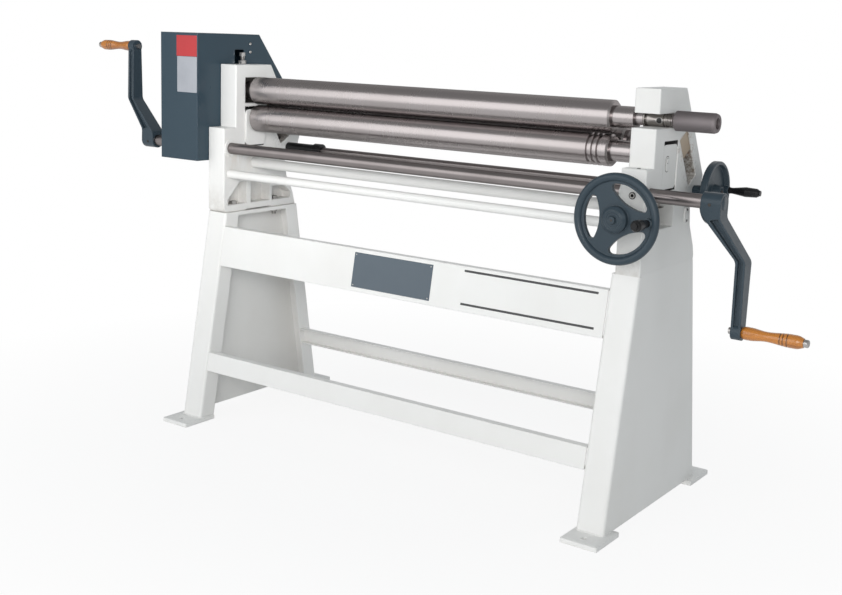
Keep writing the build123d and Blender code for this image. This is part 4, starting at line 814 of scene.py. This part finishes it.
wheel_x, wheel_z, hub_front_y, spindle_front_y = 760.0, 861.0, -292.0, -298.0
bead_sizes = ((12.5, 1.3, 0.9), (18.5, 1.3, 0.8), (24.3, 1.2, 0.8))
beads = [spun((wheel_x, hub_front_y, wheel_z), -along_y, turned_bead(*size)) for size in bead_sizes]
shell("wheel_hub_beads", beads, "lift_wheel", dark, ring=True)
dimple_rows = [(-0.5, 0.0), (-0.5, 3.4), (0.25, 3.2), (0.3, 2.6), (0.1, 1.4), (0.05, 0.0)]
dimple = spun((wheel_x, spindle_front_y, wheel_z), -along_y, dimple_rows, segments=36)
shell("spindle_centre_mark", [dimple], "lift_wheel", oily_dark)


# Wooden crank handles: hardwood turned on a lathe, with three lines burnt in near the far end, and varnished
# to an orange brown. They turn freely on steel spindles.


def turned_handle(near, side, level, length=156.0, bore_r=7.05, groove=1.25, depth=0.7):
    """Grid of one handle and its burn. Radii pass smoothly through the turner's marks by cubic Hermite
    pieces, and three rounded grooves, bell curves of the distance along, are cut into them.
    """
    grooves = (98.5, 106.5, 117.0)
    marks = np.array((0.0, 6.0, 20.0, 58.0, 126.0, 144.0, length))
    sizes = np.array((14.0, 16.4, 17.0, 13.0, 17.5, 16.5, 12.0))
    slopes = np.gradient(sizes, marks)
    coarse, fine = np.linspace(0.0, length, 170), np.linspace(92.0, 124.0, 129)
    along = np.unique(np.concatenate((coarse, fine)))
    part = np.clip(np.searchsorted(marks, along, "right") - 1, 0, len(marks) - 2)
    width = marks[part + 1] - marks[part]
    t = (along - marks[part]) / width
    radius = (2 * t**3 - 3 * t**2 + 1) * sizes[part] + (t**3 - 2 * t**2 + t) * width * slopes[part]
    radius += (3 * t**2 - 2 * t**3) * sizes[part + 1] + (t**3 - t**2) * width * slopes[part + 1]
    burn = np.exp(-(((along[:, None] - grooves) / groove) ** 2)).sum(1)
    radius = radius - depth * burn
    rows = [(0.0, bore_r), *zip(along, radius), (length, bore_r)]
    grid = spun((near, drive_y, level), side * along_x, rows)
    return grid, np.concatenate(([0.0], burn, [0.0]))


def varnished_wood(name):
    """Turned wood: growth rings and fibres stretched along X under a clear coat, scorched where burnt."""
    material, surface, place = finish(name, 0.35, coat=0.6, coat_roughness=0.08)
    fibres = noise(place, 240.0, detail=4.0, roughness=0.6, stretch=(0.06, 1.0, 1.0))
    growth = noise(place, 38.0, stretch=(0.10, 1.0, 1.0))
    tone = ((growth - 0.42) * 3.0 + (fibres - 0.5) * 1.4).clamp()
    burn = place.node("ShaderNodeAttribute", {"attribute_name": "burn"}, None, "Fac").clamp()
    wood_colour = tone.mix((0.54, 0.195, 0.027), (0.20, 0.052, 0.007))
    lay(surface, "Base Color", burn.mix(wood_colour, (0.02, 0.008, 0.004)))
    lay(surface, "Roughness", fibres * 0.2 + 0.24)
    relief(surface, fibres, strength=0.15, distance=0.0006)
    return material


wood = varnished_wood("varnished_wood")
for body, node, near, side, level in (
    ("left_grip", "left_wood_handle", -1204.3, -1, 1238.0),
    ("right_grip", "right_wood_handle", 1074.3, 1, 594.0),
):
    grid, burn = turned_handle(near, side, level)
    handle = shell(f"turned_{node}", [grid], body, wood, ring=True)
    scorch = handle.data.attributes.new("burn", "FLOAT", "POINT")
    scorch.data.foreach_set("value", np.repeat(burn, grid.shape[1]).astype(np.float32))
    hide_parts(node)


# Knobs and sleeve: moulded black plastic with a soft sheen. The knobs turn on black studs in the handwheels,
# and the sleeve sits round the adjusting shaft.

# The third colour is the paler edge: wear and a painted highlight.
black = enamel(
    "moulded_black", (0.009, 0.009, 0.010), (0.016, 0.016, 0.018), (0.03, 0.03, 0.032),
    edge=0.001, roughness=0.3, gloss=0.3,
)
paint(black, "lift_knob", "lift_knob_stud", "rear_wheel_handle", "rear_handle_stud", "adjust_shaft_sleeve")


# Gear cover: folded sheet steel in blue-grey enamel, screwed to the left casting. Its front carries a red
# film and a metal film, both blank.

# The third colour is the paler edge: worn paint and a painted highlight.
slate = enamel(
    "slate_enamel", (0.017, 0.041, 0.061), (0.023, 0.048, 0.068), (0.13, 0.16, 0.18),
    edge=0.002, roughness=0.3, gloss=0.45,
)
paint(slate, "gear_cover")
cover_front_y = -233.0
red_film = printed("red_film", (0.44, 0.018, 0.022), (0.39, 0.022, 0.026), 0.42)
red_label = flat_sheet(
    np.array((-846.5, cover_front_y, 1249.0)), along_x, along_z, -along_y,
    width=95.0, height=68.0, thickness=0.3, corner=2.0, ease=0.1,
)
shell("red_label", [red_label], "frame", red_film)
data_film = printed("data_film", (0.38, 0.395, 0.43), (0.31, 0.325, 0.36), 0.42, metallic=0.4)
data_label = flat_sheet(
    np.array((-845.0, cover_front_y, 1155.5)), along_x, along_z, -along_y,
    width=92.0, height=117.0, thickness=0.3, corner=2.0, ease=0.1,
)
shell("data_label", [data_label], "frame", data_film)
button_rows = [
    (0.0, 0.0), (0.0, 5.0), (1.2, 5.0), (2.4, 4.4), (3.3, 3.2), (3.6, 2.6), (3.6, 2.5),
    (3.6, 2.5, 1.8), (2.0, 2.5, 1.8), (2.0, 0.0),
]
screws = [spun((-outer_x, 16.0, level), along_x, button_rows, segments=48) for level in (1260.0, 1232.0)]
screws = shell("cover_button_screws", screws, "frame", bright_steel)
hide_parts("cover_screws")


# Floor: a pale matt sheet. What the camera sees of it is mostly a white glow, and wholly far away, so that
# only a faint shadow of the machine stays. Mirrors see a glow too, darker far out in front.

floor_mesh = bpy.data.meshes.new("floor")
reach = 40.0
floor_corners = [(-reach, -reach, 0.0), (reach, -reach, 0.0), (reach, reach, 0.0), (-reach, reach, 0.0)]
floor_mesh.from_pydata(floor_corners, [], [(0, 1, 2, 3)])
floor = bpy.data.objects.new("floor", floor_mesh)
bpy.context.scene.collection.objects.link(floor)
pale, surface, place = finish("pale_floor", 0.9)
surface.inputs["Base Color"].default_value = (0.80, 0.80, 0.80, 1.0)
rays = ("Is Camera Ray", "Is Glossy Ray", "Is Transmission Ray")
seen, mirrored, passed = [place.node("ShaderNodeLightPath", None, None, ray) for ray in rays]
seen = seen + passed
glow = place.node("ShaderNodeEmission", None, {"Color": (1.0, 1.0, 1.0, 1.0), "Strength": 1.0})
away = place.node("ShaderNodeVectorMath", {"operation": "LENGTH"}, {0: place}, "Value")
far_front_y = -9.0
distant = place.part("Y").above(far_front_y, 0.3).mix((0.12, 0.12, 0.12), (0.95, 0.95, 0.95))
lay(glow.socket.node, "Color", seen.clamp().mix(distant, (1.0, 1.0, 1.0)))
share = (seen * (away.above(0.7, 0.085) + 0.88) + mirrored * 0.85).clamp()
matt = Wire(place.tree, surface.outputs[0])
shown = place.node("ShaderNodeMixShader", None, {0: share, 1: matt, 2: glow})
place.tree.links.new(shown.socket, place.tree.nodes["Material Output"].inputs["Surface"])
pale.cycles.emission_sampling = "NONE"
floor_mesh.materials.append(pale)


# Light: a broad soft key from the front left, a second one from the front right, a fill from the right, a
# narrow one into the left end, one from behind for the far sides, and a pale surround.

world = bpy.data.worlds.new("surround")
bpy.context.scene.world = world
world.use_nodes = True
sky = Wire(world.node_tree)
seen, mirrored, passed = [sky.node("ShaderNodeLightPath", None, None, ray) for ray in rays]
ambient = sky.node("ShaderNodeBackground", None, {"Color": (0.86, 0.95, 1.0, 1.0), "Strength": 0.34})
rear = sky.node("ShaderNodeTexCoord", None, None, "Generated").part("Y").clamp()
level = (seen + passed + mirrored * (rear * rear * 0.8 + 0.34)).clamp()
white = sky.node("ShaderNodeBackground", None, {"Color": (1.0, 1.0, 1.0, 1.0), "Strength": level})
share = (seen + mirrored + passed).clamp()
shown = sky.node("ShaderNodeMixShader", None, {0: share, 1: ambient, 2: white})
world.node_tree.links.new(shown.socket, world.node_tree.nodes["World Output"].inputs["Surface"])


def lamp(name, place, target, width, height, power, spread=180.0, mirrored=True):
    """Soft lamp of a width and height that looks from its place to a target, in a cone of spread degrees."""
    light = bpy.data.lights.new(name, "AREA")
    light.shape = "RECTANGLE"
    light.size, light.size_y = width, height
    light.energy = power
    light.spread = np.radians(spread)
    thing = bpy.data.objects.new(name, light)
    thing.visible_camera = False
    thing.visible_glossy = mirrored
    bpy.context.scene.collection.objects.link(thing)
    way = Vector(target) - Vector(place)
    thing.matrix_world = Matrix.Translation(place) @ way.to_track_quat("-Z", "Y").to_matrix().to_4x4()


lamp("key", (-2.6, -5.4, 2.5), (0.0, 0.0, 0.9), width=5.4, height=4.8, power=138.0)
lamp("second", (2.0, -3.9, 1.7), (0.4, 0.0, 0.6), width=2.0, height=2.0, power=63.0)
lamp("fill", (4.5, -2.5, 2.2), (0.3, 0.0, 0.8), width=2.5, height=2.5, power=22.5)
lamp("left_end", (1.6, -2.7, 1.7), (-0.85, 0.0, 1.22), width=0.8, height=0.8, power=2.9, spread=38.0)
lamp("back", (0.0, 5.0, 1.3), (0.0, 0.0, 0.7), width=3.0, height=2.0, power=55.0, mirrored=False)


# Camera: the photograph's place, turn, tilt and framing, with its focal length and middle point in pixels of
# the photograph.

picture_width, picture_height = 842.0, 595.0
focal, middle_x, middle_y = 1192.18, 416.96, 254.12
turn, tilt, roll = np.radians((35.33, 10.40, 1.918))
ahead = Vector((-np.sin(turn) * np.cos(tilt), np.cos(turn) * np.cos(tilt), -np.sin(tilt)))
level = Vector((np.cos(turn), np.sin(turn), 0.0))
upright = level.cross(ahead)
right = np.cos(roll) * level + np.sin(roll) * upright
up = -np.sin(roll) * level + np.cos(roll) * upright
lens = bpy.data.cameras.new("camera")
lens.sensor_fit = "HORIZONTAL"
lens.sensor_width = 36.0
lens.lens = focal * lens.sensor_width / picture_width
lens.shift_x = (picture_width / 2 - middle_x) / picture_width
lens.shift_y = (middle_y - picture_height / 2) / picture_width
lens.clip_end = 200.0
camera = bpy.data.objects.new("camera", lens)
bpy.context.scene.collection.objects.link(camera)
facing = Matrix((right, up, -ahead)).transposed().to_4x4()
camera.matrix_world = Matrix.Translation((2.0965, -3.0325, 1.3082)) @ facing
bpy.context.scene.camera = camera
bpy.context.scene.view_settings.view_transform = "Standard"
